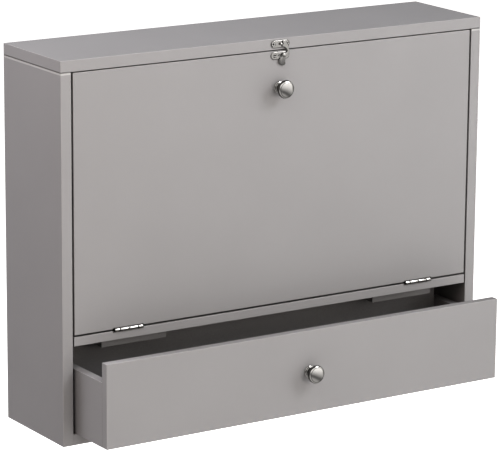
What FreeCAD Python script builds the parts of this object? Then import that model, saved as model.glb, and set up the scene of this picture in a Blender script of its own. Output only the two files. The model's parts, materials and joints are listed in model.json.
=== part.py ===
import FreeCAD, Part
import math
import os
from types import SimpleNamespace

import Sketcher
from FreeCAD import Rotation, Vector

# Fold-down wall desk: a shallow painted cabinet that hangs on a wall, with a door that folds down
# to a writing surface and a drawer below it.
# X runs to the right, Y towards the wall and Z up, seen from the front. The origin is the centre of
# the four wall screw holes, on the wall plane. The door is shut and the drawer is pulled out.

SIZES = {
    # cabinet
    "cabinet_width": 660,
    "cabinet_depth": 152,
    "cabinet_height": 509,
    "carcass_board": 15,
    "shelf_board": 12,
    "shelf_notch": 2.2,
    "shelf_notch_depth": 15,
    "drawer_bay_height": 118.5,
    "edge_round": 0.5,
    # back panel in its rabbets
    "back_board": 4,
    "back_lap": 8,
    "back_clearance": 0.3,
    "back_screw_pitch": 140,
    # wall rails
    "rail_board": 15,
    "rail_height": 60,
    "wall_screw_spacing": 406.4,
    "wall_screw_hole": 5.5,
    # dowels
    "dowel_diameter": 6,
    "dowel_length": 28,
    "dowel_seat": 10,
    "dowel_pitch": 84,
    "rail_dowel_pitch": 32,
    "dowel_clearance": 0.05,
    "dowel_end_gap": 0.5,
    # door and stop blocks
    "door_board": 15,
    "door_side_gap": 3,
    "door_top_gap": 1.6,
    "stop_length": 98,
    "stop_height": 12,
    "stop_depth": 20,
    "stop_inset": 50.5,
    "door_stop_gap": 0.3,
    "drawer_stop_gap": 2,
    # hinges
    "hinge_inset": 59,
    "hinge_length": 41.5,
    "knuckle_diameter": 5,
    "knuckle_short": 6.4,
    "knuckle_gap": 1.2,
    "barrel_proud": 0.4,
    "barrel_clearance": 0.3,
    "barrel_recess": 1.9,
    "barrel_recess_end": 2.5,
    "leaf_thickness": 1.3,
    "leaf_gap": 0.2,
    "leaf_reach": 12,
    "hinge_pin": 2.6,
    "hinge_screw_pitch": 26,
    "hinge_screw_inset": 7.2,
    "pivot_clearance": 0.05,
    # countersunk wood screws
    "screw_diameter": 3,
    "screw_head": 5.6,
    "screw_length": 10,
    "screw_tip": 2.5,
    "screw_sink": 0.1,
    "screw_clearance": 0.05,
    # knobs
    "knob_projection": 19.3,
    "knob_face": 20.8,
    "knob_face_height": 18.2,
    "knob_rim_round": 3.4,
    "knob_back": 22.4,
    "knob_back_height": 12.6,
    "knob_flare": 9,
    "knob_neck": 11.5,
    "knob_neck_end": 4.5,
    "knob_base": 17,
    "knob_base_height": 1.6,
    "knob_base_ease": 0.4,
    "door_knob_drop": 49.4,
    "bolt_diameter": 4,
    "bolt_head": 8,
    "bolt_head_top": 5.6,
    "bolt_head_height": 2.6,
    "bolt_grip": 10,
    "bolt_clearance": 0.2,
    # latch
    "latch_plate_length": 29,
    "latch_plate_height": 10.2,
    "latch_plate_thickness": 1.2,
    "strike_screw_pitch": 21.4,
    "strike_stud_offset": 0.4,
    "pivot_plate_drop": 6.1,
    "pivot_screw_offset": 4.4,
    "pivot_screw_pitch": 7.6,
    "latch_pivot_offset": 5,
    "latch_pivot_pin": 3,
    "latch_pin_head": 5.4,
    "latch_pin_crown": 4,
    "latch_pin_head_height": 0.9,
    "latch_pin_root": 4,
    "strike_stud": 2.2,
    "strike_stud_head": 3.6,
    "strike_stud_crown": 2.6,
    "hook_thickness": 1.6,
    "hook_gap": 0.3,
    "hook_play": 0.15,
    "hook_eye": 6.6,
    "hook_arm": 3.4,
    "hook_bow": 7.8,
    "hook_bow_height": 4.5,
    "hook_jaw": 8.6,
    "hook_jaw_length": 4.6,
    "hook_tail": 13.6,
    "hook_tab_left": 6.6,
    "hook_tab_right": 4.2,
    "hook_tab_height": 8,
    "hook_corner": 3,
    # folding stays
    "stay_plate_thickness": 1.5,
    "stay_plate_height": 16,
    "stay_screw_pitch": 26,
    "stay_link_thickness": 2,
    "stay_link_width": 12,
    "stay_link_gap": 0.4,
    "stay_pivot_height": 12,
    "stay_door_reach": 92,
    "stay_setback": 55,
    "stay_rise": 42,
    "stay_link_difference": 44,
    "stay_rivet": 4,
    "stay_rivet_head": 7,
    "stay_rivet_crown": 5.2,
    "stay_rivet_head_height": 1,
    "stay_rivet_play": 0.15,
    "stay_flange": 16,
    "stay_flange_height": 30,
    "stay_flange_screw_pitch": 18,
    # drawer
    "drawer_pull": 80,
    "drawer_board": 12,
    "drawer_side_gap": 4,
    "drawer_lift": 0.3,
    "drawer_top_gap": 4.7,
    "drawer_side_height": 87,
    "drawer_depth": 143,
    "drawer_bottom_board": 3,
    "drawer_bottom_height": 7,
    "drawer_groove": 5,
    "groove_clearance": 0.2,
    "drawer_dowel_pitch": 46,
    "drawer_dowel_seat": 7,
    "drawer_dowel_length": 24,
}

doc = FreeCAD.newDocument("FoldDownWallDesk")
sheet = doc.addObject("Spreadsheet::Sheet", "Sizes")
for row, (name, number) in enumerate(SIZES.items(), start=1):
    sheet.set(f"A{row}", name)
    sheet.set(f"B{row}", str(number))
    sheet.setAlias(f"B{row}", name)
doc.recompute()


class Size:
    """A length: its number now, and the expression on the sheet that gives it."""

    def __init__(self, number, text):
        self.number = number
        self.text = text

    def __add__(self, other):
        other = size(other)
        return Size(self.number + other.number, f"({self.text} + {other.text})")

    def __sub__(self, other):
        other = size(other)
        return Size(self.number - other.number, f"({self.text} - {other.text})")

    def __mul__(self, factor):
        return Size(self.number * factor, f"({self.text} * {factor})")

    def __truediv__(self, divisor):
        return Size(self.number / divisor, f"({self.text} / {divisor})")

    def __neg__(self):
        return self * -1

    __radd__ = __add__
    __rmul__ = __mul__


def size(value):
    """A plain number as a Size; a Size as it is."""
    if isinstance(value, Size):
        return value
    return Size(value, str(value))


def diagonal(a, b):
    """The length of a line that runs a one way and b square to it."""
    return Size(math.hypot(a.number, b.number), f"sqrt({a.text} ^ 2 + {b.text} ^ 2)")


def dome_radius(half_width, rise):
    """The radius of a ball's cap from half its width and its rise."""
    number = (half_width.number ** 2 + rise.number ** 2) / (2 * rise.number)
    return Size(number, f"(({half_width.text} ^ 2 + {rise.text} ^ 2) / (2 * {rise.text}))")


s = SimpleNamespace(**{name: Size(float(sheet.get(name)), f"Sizes.{name}") for name in SIZES})
ORIGIN = size(0)
LEFT, RIGHT = -1, 1
LEFT_TURN, RIGHT_TURN = 1, -1
SIDES = (("left", LEFT), ("right", RIGHT))

# Planes and axes that several pieces share.
FRONT = -s.cabinet_depth
BASE = -(s.cabinet_height + s.drawer_bay_height + s.shelf_board) / 2
TOP = BASE + s.cabinet_height
CEILING = TOP - s.carcass_board
BAY_FLOOR = BASE + s.carcass_board
SHELF_UNDER = BAY_FLOOR + s.drawer_bay_height
SHELF_TOP = SHELF_UNDER + s.shelf_board
WALL_X = s.cabinet_width / 2 - s.carcass_board
BACK_FACE = -s.back_board
HINGE_GAP = s.leaf_thickness * 2 + s.leaf_gap
HINGE_Y = FRONT - s.barrel_proud
HINGE_Z = SHELF_TOP + HINGE_GAP / 2
BARREL_ROOM = s.knuckle_diameter / 2 + s.barrel_clearance
LEAF_START = HINGE_Y + BARREL_ROOM
DOOR_X = WALL_X - s.door_side_gap
DOOR_UNDER = SHELF_TOP + HINGE_GAP
DOOR_TOP = CEILING - s.door_top_gap
DOOR_INNER = FRONT + s.door_board
DRAWER_FRONT = FRONT - s.drawer_pull
DRAWER_X = WALL_X - s.drawer_side_gap
DRAWER_UNDER = BAY_FLOOR + s.drawer_lift
DRAWER_TOP = SHELF_UNDER - s.drawer_top_gap

DIRECTIONS = {
    "x": (Vector(1, 0, 0), Rotation(Vector(0, 1, 0), 90)),
    "-x": (Vector(-1, 0, 0), Rotation(Vector(0, 1, 0), -90)),
    "y": (Vector(0, 1, 0), Rotation(Vector(1, 0, 0), -90)),
    "-y": (Vector(0, -1, 0), Rotation(Vector(1, 0, 0), 90)),
    "z": (Vector(0, 0, 1), Rotation()),
    "-z": (Vector(0, 0, -1), Rotation(Vector(1, 0, 0), 180)),
}
INWARD = {LEFT: "x", RIGHT: "-x"}
OUTWARD = {LEFT: "-x", RIGHT: "x"}
parts = {}


def keep(label, item):
    """Name a finished sub-part; the name is also its file's."""
    item.Label = label
    parts[label] = item
    return item


def place(item, at):
    """Tie an object's place to the sheet."""
    for axis, value in zip("xyz", at):
        item.setExpression(f"Placement.Base.{axis}", size(value).text)
    return item


def moved(at, direction, distance):
    """A point moved a distance along one of the six directions."""
    step = DIRECTIONS[direction][0]
    return [size(value) + size(distance) * part for value, part in zip(at, step)]


def across(side, near, far):
    """The X range from near to far off the middle plane, on the left or the right."""
    if side == LEFT:
        return -size(far), -size(near)
    return size(near), size(far)


def block(name, low, high):
    """A box between two corners."""
    item = doc.addObject("Part::Box", name)
    for side, start, end in zip(("Length", "Width", "Height"), low, high):
        item.setExpression(side, (size(end) - start).text)
    return place(item, low)


def rod(name, diameter, at, direction, length):
    """A round bar from a point along a direction."""
    item = doc.addObject("Part::Cylinder", name)
    item.Placement.Rotation = DIRECTIONS[direction][1]
    item.setExpression("Radius", (size(diameter) / 2).text)
    item.setExpression("Height", size(length).text)
    return place(item, at)


def taper(name, start_diameter, end_diameter, at, direction, length):
    """A cone or a truncated cone from a point along a direction."""
    item = doc.addObject("Part::Cone", name)
    item.Placement.Rotation = DIRECTIONS[direction][1]
    item.setExpression("Radius1", (size(start_diameter) / 2).text)
    item.setExpression("Radius2", (size(end_diameter) / 2).text)
    item.setExpression("Height", size(length).text)
    return place(item, at)


def fused(name, pieces):
    """Several touching shapes made one."""
    item = doc.addObject("Part::MultiFuse", name)
    item.Shapes = pieces
    item.Refine = True
    return item


def group(name, pieces):
    """Several shapes kept apart under one name."""
    item = doc.addObject("Part::Compound", name)
    item.Links = pieces
    return item


def cut(name, base, voids):
    """A shape with voids taken out of it."""
    item = doc.addObject("Part::Cut", name)
    item.Base = base
    item.Tool = voids[0] if len(voids) == 1 else group(f"{name}_voids", voids)
    return item


def box_edges():
    """The faces that meet at each edge of a box, such as x0 and z1, by the edge's number."""
    edges = {}
    for number, edge in enumerate(Part.makeBox(1, 1, 1).Edges, start=1):
        middle = edge.CenterOfMass
        at = zip("xyz", (middle.x, middle.y, middle.z))
        edges[number] = {f"{axis}{round(value)}" for axis, value in at if abs(value - 0.5) > 0.1}
    return edges


BOX_EDGES = box_edges()
ALL_FACES = {"x0", "x1", "y0", "y1", "z0", "z1"}


def board(label, low, high, shown, voids=()):
    """A painted board: edges between two shown faces are rounded over, then its voids are cut."""
    blank = block(f"{label}_blank", low, high)
    item = doc.addObject("Part::Fillet", f"{label}_rounded")
    item.Base = blank
    radius = s.edge_round.number
    item.Edges = [(number, radius, radius) for number, faces in BOX_EDGES.items() if faces <= shown]
    if voids:
        item = cut(f"{label}_cut", item, list(voids))
    return keep(label, item)


def body_sketch(body, name, role):
    """An empty sketch on one of a body's own origin planes."""
    sketch = body.newObject("Sketcher::SketchObject", name)
    plane = next(item for item in body.Origin.OriginFeatures if item.Role == role)
    sketch.AttachmentSupport = [(plane, "")]
    sketch.MapMode = "FlatFace"
    return sketch


def tie(sketch, constraint, value):
    """Add a dimension to a sketch and tie it to the sheet."""
    number = sketch.addConstraint(constraint)
    sketch.setExpression(f"Constraints[{number}]", size(value).text)


def pin_point(sketch, geometry, end, at):
    """Hold a point of a sketch at two distances from the sketch's origin."""
    x, y = (size(value) for value in at)
    tie(sketch, Sketcher.Constraint("DistanceX", -1, 1, geometry, end, x.number), x)
    tie(sketch, Sketcher.Constraint("DistanceY", -1, 1, geometry, end, y.number), y)


def circle(sketch, at, diameter):
    """A circle at a point of a sketch."""
    x, y = (size(value) for value in at)
    radius = size(diameter) / 2
    shape = Part.Circle(Vector(x.number, y.number, 0), Vector(0, 0, 1), radius.number)
    geometry = sketch.addGeometry(shape, False)
    pin_point(sketch, geometry, 3, at)
    tie(sketch, Sketcher.Constraint("Radius", geometry, radius.number), radius)


def arc_between(start, end, radius, turn):
    """The short arc of a radius between two points, turning left or right."""
    chord = end - start
    middle = (start + end) / 2
    rise = math.sqrt(radius ** 2 - chord.Length ** 2 / 4)
    aside = Vector(-chord.y, chord.x, 0).normalize() * turn
    centre = middle + aside * rise
    return Part.Arc(start, centre - aside * radius, end)


def outline(sketch, points):
    """A closed outline. A point is (x, y) before a straight edge, or (x, y, radius, turn) before an arc."""
    spots = [Vector(size(point[0]).number, size(point[1]).number, 0) for point in points]
    edges = []
    for number, point in enumerate(points):
        start, end = spots[number], spots[(number + 1) % len(spots)]
        if len(point) == 2:
            edges.append(sketch.addGeometry(Part.LineSegment(start, end), False))
            continue
        radius, turn = size(point[2]), point[3]
        edges.append(sketch.addGeometry(arc_between(start, end, radius.number, turn), False))
        tie(sketch, Sketcher.Constraint("Radius", edges[-1], radius.number), radius)
    # An arc is stored turning left, so one that turns right starts at its second end.
    first = [2 if point[3:] == (RIGHT_TURN,) else 1 for point in points]
    for number, point in enumerate(points):
        before = number - 1
        last = 3 - first[before]
        joint = Sketcher.Constraint("Coincident", edges[before], last, edges[number], first[number])
        sketch.addConstraint(joint)
        pin_point(sketch, edges[number], first[number], point[:2])


def slot_outline(sketch, start, end, width):
    """A bar outline with round ends, between two centres on the sketch's X axis."""
    start, end, half = size(start), size(end), size(width) / 2
    near, far, radius = start.number, end.number, half.number
    ends = []
    for centre, angle in ((near, math.pi / 2), (far, -math.pi / 2)):
        round_end = Part.Circle(Vector(centre, 0, 0), Vector(0, 0, 1), radius)
        ends.append(sketch.addGeometry(Part.ArcOfCircle(round_end, angle, angle + math.pi), False))
    low = Part.LineSegment(Vector(near, -radius, 0), Vector(far, -radius, 0))
    high = Part.LineSegment(Vector(far, radius, 0), Vector(near, radius, 0))
    low, high = sketch.addGeometry(low, False), sketch.addGeometry(high, False)
    for arc, arc_end, line, line_end in ((ends[0], 2, low, 1), (ends[1], 1, low, 2),
                                         (ends[1], 2, high, 1), (ends[0], 1, high, 2)):
        sketch.addConstraint(Sketcher.Constraint("Tangent", arc, arc_end, line, line_end))
    pin_point(sketch, ends[0], 3, (start, 0))
    tie(sketch, Sketcher.Constraint("DistanceX", -1, 1, ends[1], 3, far), end)
    tie(sketch, Sketcher.Constraint("Radius", ends[0], radius), half)


def sheet_metal(name, role, thickness, draw):
    """A flat piece: what draw puts in the sketch, padded to a thickness."""
    body = doc.addObject("PartDesign::Body", name)
    sketch = body_sketch(body, f"{name}_outline", role)
    draw(sketch)
    pad = body.newObject("PartDesign::Pad", f"{name}_pad")
    pad.Profile = sketch
    pad.setExpression("Length", size(thickness).text)
    return body


def wood_screw(name, at, direction):
    """A countersunk screw with its head just under the surface at a point, and the void it sits in."""
    depth = (s.screw_head - s.screw_diameter) / 2
    start = moved(at, direction, s.screw_sink)
    neck = moved(start, direction, depth)
    straight = s.screw_length - s.screw_sink - depth - s.screw_tip
    tip = moved(neck, direction, straight)
    point = s.screw_diameter / 4
    solid = fused(name, [
        taper(f"{name}_head", s.screw_head, s.screw_diameter, start, direction, depth),
        rod(f"{name}_shank", s.screw_diameter, neck, direction, straight),
        taper(f"{name}_tip", s.screw_diameter, point, tip, direction, s.screw_tip),
    ])
    play = s.screw_clearance * 2
    mouth = s.screw_head + s.screw_sink * 2 + play
    void = fused(f"{name}_void", [
        taper(f"{name}_void_head", mouth, s.screw_diameter + play, at, direction, depth + s.screw_sink),
        rod(f"{name}_void_shank", s.screw_diameter + play, neck, direction, straight + s.screw_tip + play),
    ])
    return solid, void


def dowel(name, at, direction, seat, length):
    """A dowel across a joint at a point, its seat behind the point, and the void it sits in."""
    start = moved(at, direction, -seat)
    solid = rod(name, s.dowel_diameter, start, direction, length)
    bore = s.dowel_diameter + s.dowel_clearance * 2
    mouth = moved(start, direction, -s.dowel_end_gap)
    void = rod(f"{name}_void", bore, mouth, direction, size(length) + s.dowel_end_gap * 2)
    return solid, void


def split(pairs):
    """Solids and voids of several screws or dowels, as two lists."""
    return [pair[0] for pair in pairs], [pair[1] for pair in pairs]


def headed_pin(name, at, direction, shank, reach, head, crown, head_height):
    """A pin from a point along a direction, ending in a low head that tapers to its crown."""
    top = moved(at, direction, reach)
    return fused(name, [
        rod(f"{name}_shank", shank, at, direction, reach),
        taper(f"{name}_head", head, crown, top, direction, head_height),
    ])


# Carcass joints: dowels through the seams, grouped by the boards that they join.
MIDDLE_Y = (FRONT + BACK_FACE) / 2
RAIL_Y = BACK_FACE - s.rail_board / 2
UPPER_RAIL_Z = CEILING - s.rail_height / 2
LOWER_RAIL_Z = SHELF_TOP + s.rail_height / 2
joints = {}
for word, side in SIDES:
    middle = (WALL_X + s.carcass_board / 2) * side
    spread = [MIDDLE_Y + s.dowel_pitch / 2 * end for end in (-1, 1)]
    joints[word, "top"] = [
        dowel(f"{word}_top_dowel_{n}", (middle, y, CEILING), "-z", s.dowel_seat, s.dowel_length)
        for n, y in enumerate(spread)]
    for place_word, z in (("shelf", SHELF_UNDER + s.shelf_board / 2), ("bottom", BASE + s.carcass_board / 2)):
        joints[word, place_word] = [
            dowel(f"{word}_{place_word}_dowel_{n}", (WALL_X * side, y, z), INWARD[side],
                  s.dowel_seat, s.dowel_length)
            for n, y in enumerate(spread)]
    for place_word, z in (("upper_rail", UPPER_RAIL_Z), ("lower_rail", LOWER_RAIL_Z)):
        joints[word, place_word] = [
            dowel(f"{word}_{place_word}_dowel_{n}", (WALL_X * side, RAIL_Y, z + s.rail_dowel_pitch / 2 * end),
                  INWARD[side], s.dowel_seat, s.dowel_length)
            for n, end in enumerate((-1, 1))]


def joint_voids(*places):
    """The dowel voids of one kind of seam on both sides."""
    return [void for word, _ in SIDES for name in places for _, void in joints[word, name]]


keep("carcass_dowels", group("carcass_dowels", [solid for pairs in joints.values() for solid, _ in pairs]))

# Back panel screws: rows along the sides, the top, the shelf and the bottom.
LAP = s.back_lap / 2
back_rows = {
    "left": [(-(WALL_X + LAP), LOWER_RAIL_Z + s.back_screw_pitch * (n - 1)) for n in range(3)],
    "right": [(WALL_X + LAP, LOWER_RAIL_Z + s.back_screw_pitch * (n - 1)) for n in range(3)],
    "top": [(s.back_screw_pitch * (n - 1), CEILING + LAP) for n in range(3)],
    "shelf": [(s.back_screw_pitch * (n - 1), SHELF_UNDER + s.shelf_board / 2) for n in range(3)],
    "bottom": [(s.back_screw_pitch * (n - 1), BAY_FLOOR - LAP) for n in range(3)],
}
back_screws = {
    row: [wood_screw(f"{row}_back_screw_{n}", (x, ORIGIN, z), "-y") for n, (x, z) in enumerate(spots)]
    for row, spots in back_rows.items()}
back_solids = [solid for row in back_screws.values() for solid, _ in row]
keep("back_panel_screws", group("back_panel_screws", back_solids))
back_voids = {row: split(pairs)[1] for row, pairs in back_screws.items()}

# Hinges: two leaves of one shape, each with a short and a long knuckle, on a pin.
KNUCKLE_LONG = (s.hinge_length - s.knuckle_short * 2 - s.knuckle_gap * 3) / 2


def hinge_knuckles(centre):
    """Start and length of the four knuckles, from the left: short, long, long, short."""
    lengths = (s.knuckle_short, KNUCKLE_LONG, KNUCKLE_LONG, s.knuckle_short)
    start = centre - s.hinge_length / 2
    runs = []
    for length in lengths:
        runs.append((start, length))
        start = start + length + s.knuckle_gap
    return runs


def hinge_leaf(label, centre, knuckles, low, voids):
    """A leaf: a plate in the gap and its own knuckles on tabs, bored for the pin, countersunk for screws."""
    high = low + s.leaf_thickness
    start, end = centre - s.hinge_length / 2, centre + s.hinge_length / 2
    pieces = [block(f"{label}_plate", (start, LEAF_START, low), (end, FRONT + s.leaf_reach, high))]
    for n, (x, length) in enumerate(knuckles):
        pieces.append(rod(f"{label}_knuckle_{n}", s.knuckle_diameter, (x, HINGE_Y, HINGE_Z), "x", length))
        pieces.append(block(f"{label}_tab_{n}", (x, HINGE_Y, low), (x + length, LEAF_START, high)))
    bore_diameter = s.hinge_pin + s.pivot_clearance * 2
    bore = rod(f"{label}_bore", bore_diameter, (start, HINGE_Y, HINGE_Z), "x", s.hinge_length)
    return keep(label, cut(f"{label}_cut", fused(f"{label}_blank", pieces), [bore, *voids]))


def barrel_recess(word, centre):
    """The room for a barrel in the front edges of the shelf and the door, a little longer than the hinge."""
    half = s.hinge_length / 2 + s.barrel_recess_end
    return block(f"{word}_barrel_recess", (centre - half, HINGE_Y - BARREL_ROOM, SHELF_TOP - s.barrel_recess),
                 (centre + half, LEAF_START, DOOR_UNDER + s.barrel_recess))


shelf_hinge_screws, door_hinge_screws, barrel_recesses = [], [], []
SHELF_LEAF = SHELF_TOP
DOOR_LEAF = DOOR_UNDER - s.leaf_thickness
for word, side in SIDES:
    centre = (DOOR_X - s.hinge_inset - s.hinge_length / 2) * side
    screw_x = [centre + s.hinge_screw_pitch / 2 * end for end in (-1, 1)]
    screw_y = FRONT + s.hinge_screw_inset
    on_shelf = [wood_screw(f"{word}_shelf_hinge_screw_{n}", (x, screw_y, SHELF_LEAF + s.leaf_thickness), "-z")
                for n, x in enumerate(screw_x)]
    on_door = [wood_screw(f"{word}_door_hinge_screw_{n}", (x, screw_y, DOOR_LEAF), "z")
               for n, x in enumerate(screw_x)]
    first, second, third, fourth = hinge_knuckles(centre)
    hinge_leaf(f"{word}_hinge_shelf_leaf", centre, (first, third), SHELF_LEAF, split(on_shelf)[1])
    hinge_leaf(f"{word}_hinge_door_leaf", centre, (second, fourth), DOOR_LEAF, split(on_door)[1])
    pin_start = (centre - s.hinge_length / 2, HINGE_Y, HINGE_Z)
    keep(f"{word}_hinge_pin", rod(f"{word}_hinge_pin", s.hinge_pin, pin_start, "x", s.hinge_length))
    shelf_hinge_screws += on_shelf
    door_hinge_screws += on_door
    barrel_recesses.append(barrel_recess(word, centre))
keep("shelf_hinge_screws", group("shelf_hinge_screws", split(shelf_hinge_screws)[0]))
keep("door_hinge_screws", group("door_hinge_screws", split(door_hinge_screws)[0]))

# Latch: a headed stud on the top panel's edge, and a hook that turns on a plate on the door.
STRIKE_Z = CEILING + s.carcass_board / 2
PIVOT_Z = DOOR_TOP - s.pivot_plate_drop
LATCH_X = s.latch_pivot_offset
STUD_X = s.strike_stud_offset
PLATE_FACE = FRONT - s.latch_plate_thickness
HOOK_BACK = PLATE_FACE - s.hook_gap
PIN_REACH = s.latch_pin_root + s.latch_plate_thickness + s.hook_gap + s.hook_thickness + s.hook_play


def latch_plate(label, z, pin_x, pin, screws):
    """A plate with round ends, holed for its pin and countersunk for its screws."""
    half = (s.latch_plate_length - s.latch_plate_height) / 2

    def draw(sketch):
        slot_outline(sketch, -half, half, s.latch_plate_height)
        circle(sketch, (pin_x, 0), pin + s.pivot_clearance * 2)

    plate = sheet_metal(f"{label}_blank", "XZ_Plane", s.latch_plate_thickness, draw)
    place(plate, (ORIGIN, FRONT, z))
    keep(label, cut(f"{label}_cut", plate, split(screws)[1]))


def latch_screws(name, middle, pitch, z):
    """The two screws of a latch plate, a pitch apart about a middle."""
    spots = [middle + pitch / 2 * end for end in (-1, 1)]
    return [wood_screw(f"{name}_{n}", (x, PLATE_FACE, z), "y") for n, x in enumerate(spots)]


def latch_pin(label, x, z, shank, head, crown):
    """A headed pin rooted in the wood behind a latch plate, and the void it sits in."""
    root = (x, FRONT + s.latch_pin_root, z)
    height = s.latch_pin_head_height
    keep(label, headed_pin(f"{label}_solid", root, "-y", shank, PIN_REACH, head, crown, height))
    return rod(f"{label}_void", shank + s.pivot_clearance * 2, root, "-y", s.latch_pin_root)


strike_screws = latch_screws("strike_screw", ORIGIN, s.strike_screw_pitch, STRIKE_Z)
pivot_screws = latch_screws("pivot_screw", -s.pivot_screw_offset, s.pivot_screw_pitch, PIVOT_Z)
latch_plate("latch_strike_plate", STRIKE_Z, STUD_X, s.strike_stud, strike_screws)
latch_plate("latch_pivot_plate", PIVOT_Z, LATCH_X, s.latch_pivot_pin, pivot_screws)
keep("strike_plate_screws", group("strike_plate_screws", split(strike_screws)[0]))
keep("pivot_plate_screws", group("pivot_plate_screws", split(pivot_screws)[0]))
stud_void = latch_pin("latch_strike_stud", STUD_X, STRIKE_Z, s.strike_stud, s.strike_stud_head,
                      s.strike_stud_crown)
pivot_void = latch_pin("latch_pivot_rivet", LATCH_X, PIVOT_Z, s.latch_pivot_pin, s.latch_pin_head,
                       s.latch_pin_crown)

# The hook's mouth: a round notch for the stud, open for a little less than half of its circle.
STUD_FROM_PIVOT = (STUD_X - LATCH_X, STRIKE_Z - PIVOT_Z)
NOTCH = s.strike_stud / 2 + s.hook_play
MOUTH_OFFSET = NOTCH / 6
HALF_MOUTH = Size(math.sqrt(NOTCH.number ** 2 - MOUTH_OFFSET.number ** 2),
                  f"sqrt({NOTCH.text} ^ 2 - {MOUTH_OFFSET.text} ^ 2)")


def hook_outline(sketch):
    """The hook on the stud, seen from the front about its pivot: thumb tab, bowed arm, notched jaw, eye."""
    stud_x, stud_z = STUD_FROM_PIVOT
    lip = stud_x + MOUTH_OFFSET
    jaw_top, jaw_low = stud_z + s.hook_jaw / 2, stud_z - s.hook_jaw / 2
    eye = s.hook_eye / 2
    corner, tail = s.hook_corner, s.hook_tail
    outline(sketch, [
        (s.hook_tab_right - corner, -tail, corner, LEFT_TURN),
        (s.hook_tab_right, corner - tail, tail, RIGHT_TURN),
        (eye, -eye / 2, s.hook_bow, LEFT_TURN),
        (s.hook_bow, s.hook_bow_height, stud_z * 2, LEFT_TURN),
        (lip + s.hook_jaw_length, jaw_top),
        (lip, jaw_top),
        (lip, stud_z + HALF_MOUTH, NOTCH, RIGHT_TURN),
        (lip, stud_z - HALF_MOUTH),
        (lip, jaw_low, s.hook_jaw, RIGHT_TURN),
        (s.hook_bow - s.hook_arm, s.hook_bow_height + eye / 2, s.hook_arm, RIGHT_TURN),
        (0, eye, eye, LEFT_TURN),
        (-eye, 0, s.hook_tab_height, RIGHT_TURN),
        (-s.hook_tab_left, s.hook_tab_height - tail, s.hook_tab_height, LEFT_TURN),
        (corner / 2 - s.hook_tab_left, corner / 2 - tail, tail, LEFT_TURN),
    ])
    circle(sketch, (0, 0), s.latch_pivot_pin + s.pivot_clearance * 2)


def swing_off_angle():
    """The turn, in degrees, that carries both corners of the hook's mouth clear of the stud's head."""
    stud_x, stud_z = (value.number for value in STUD_FROM_PIVOT)
    clear = s.strike_stud_head.number / 2 + s.hook_gap.number
    stud_far = math.hypot(stud_x, stud_z)
    turns = []
    for end in (-1, 1):
        corner_x, corner_z = stud_x + MOUTH_OFFSET.number, stud_z + HALF_MOUTH.number * end
        far = math.hypot(corner_x, corner_z)
        apart = math.acos((far ** 2 + stud_far ** 2 - clear ** 2) / (2 * far * stud_far))
        turns.append(apart - math.atan2(corner_x, corner_z) + math.atan2(stud_x, stud_z))
    return math.degrees(max(turns))


hook = sheet_metal("latch_hook_body", "XZ_Plane", s.hook_thickness, hook_outline)
hook.Placement.Rotation = Rotation(Vector(0, 1, 0), swing_off_angle())
keep("latch_hook", place(hook, (LATCH_X, HOOK_BACK, PIVOT_Z)))

# Folding stays: a wall plate, a link on it, a link on the door and a bracket, on each side.
# u runs back and v up from the hinge axis. The links lie in a line when the door is level.
PIVOT_U = s.barrel_proud + s.door_board + s.stay_pivot_height
PIVOT_V = s.stay_door_reach
ANCHOR_U = PIVOT_U + s.stay_setback
ANCHOR_V = PIVOT_V + s.stay_rise
STAY_SPAN = diagonal(ANCHOR_U + PIVOT_V, ANCHOR_V - PIVOT_U)
WALL_LINK = (STAY_SPAN + s.stay_link_difference) / 2
DOOR_LINK = (STAY_SPAN - s.stay_link_difference) / 2
ANCHOR_Y, ANCHOR_Z = HINGE_Y + ANCHOR_U, HINGE_Z + ANCHOR_V
PIVOT_Y, PIVOT_HEIGHT = HINGE_Y + PIVOT_U, HINGE_Z + PIVOT_V


def folded_angles():
    """Angles of the wall link and the door link from +Y, with the door shut and the knuckle hanging down."""
    back, up = s.stay_setback.number, s.stay_rise.number
    gap = math.hypot(back, up)
    upper, lower = WALL_LINK.number, DOOR_LINK.number
    along = math.atan2(-up, -back)
    at_wall = math.acos((gap ** 2 + upper ** 2 - lower ** 2) / (2 * gap * upper))
    at_door = math.acos((gap ** 2 + lower ** 2 - upper ** 2) / (2 * gap * lower))
    return math.degrees(along + at_wall), math.degrees(along + math.pi - at_door)


def open_angles():
    """The same angles with the door level: both links lie along the line between their pivots."""
    along = math.atan2((PIVOT_U - ANCHOR_V).number, -(PIVOT_V + ANCHOR_U).number)
    return math.degrees(along), math.degrees(along + math.pi)


WALL_ANGLE, DOOR_ANGLE = folded_angles()
# Distances of the layers from the side panel's inner face.
PLATE_IN = s.stay_plate_thickness
WALL_LINK_OUT = PLATE_IN + s.stay_link_gap
WALL_LINK_IN = WALL_LINK_OUT + s.stay_link_thickness
DOOR_LINK_OUT = WALL_LINK_IN + s.stay_link_gap
DOOR_LINK_IN = DOOR_LINK_OUT + s.stay_link_thickness
EAR_OUT = DOOR_LINK_IN + s.stay_link_gap
EAR_IN = EAR_OUT + s.stay_plate_thickness
RIVET_BORE = s.stay_rivet + s.pivot_clearance * 2


def stay_layer(side, out, into):
    """Lowest X of a layer of a stay, between two distances from the side panel."""
    return across(side, WALL_X - into, WALL_X - out)[0]


def knuckle_at():
    """The Y and Z of the knuckle with the door shut."""
    angle = math.radians(WALL_ANGLE)
    return ANCHOR_Y + WALL_LINK * math.cos(angle), ANCHOR_Z + WALL_LINK * math.sin(angle)


def stay_link(label, side, out, into, at, angle, length):
    """A flat link with round ends, holed at both."""

    def draw(sketch):
        slot_outline(sketch, 0, length, s.stay_link_width)
        circle(sketch, (0, 0), RIVET_BORE)
        circle(sketch, (length, 0), RIVET_BORE)

    link = sheet_metal(f"{label}_body", "YZ_Plane", s.stay_link_thickness, draw)
    link.Placement.Rotation = Rotation(Vector(1, 0, 0), angle)
    keep(label, place(link, (stay_layer(side, out, into), *at)))


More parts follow.
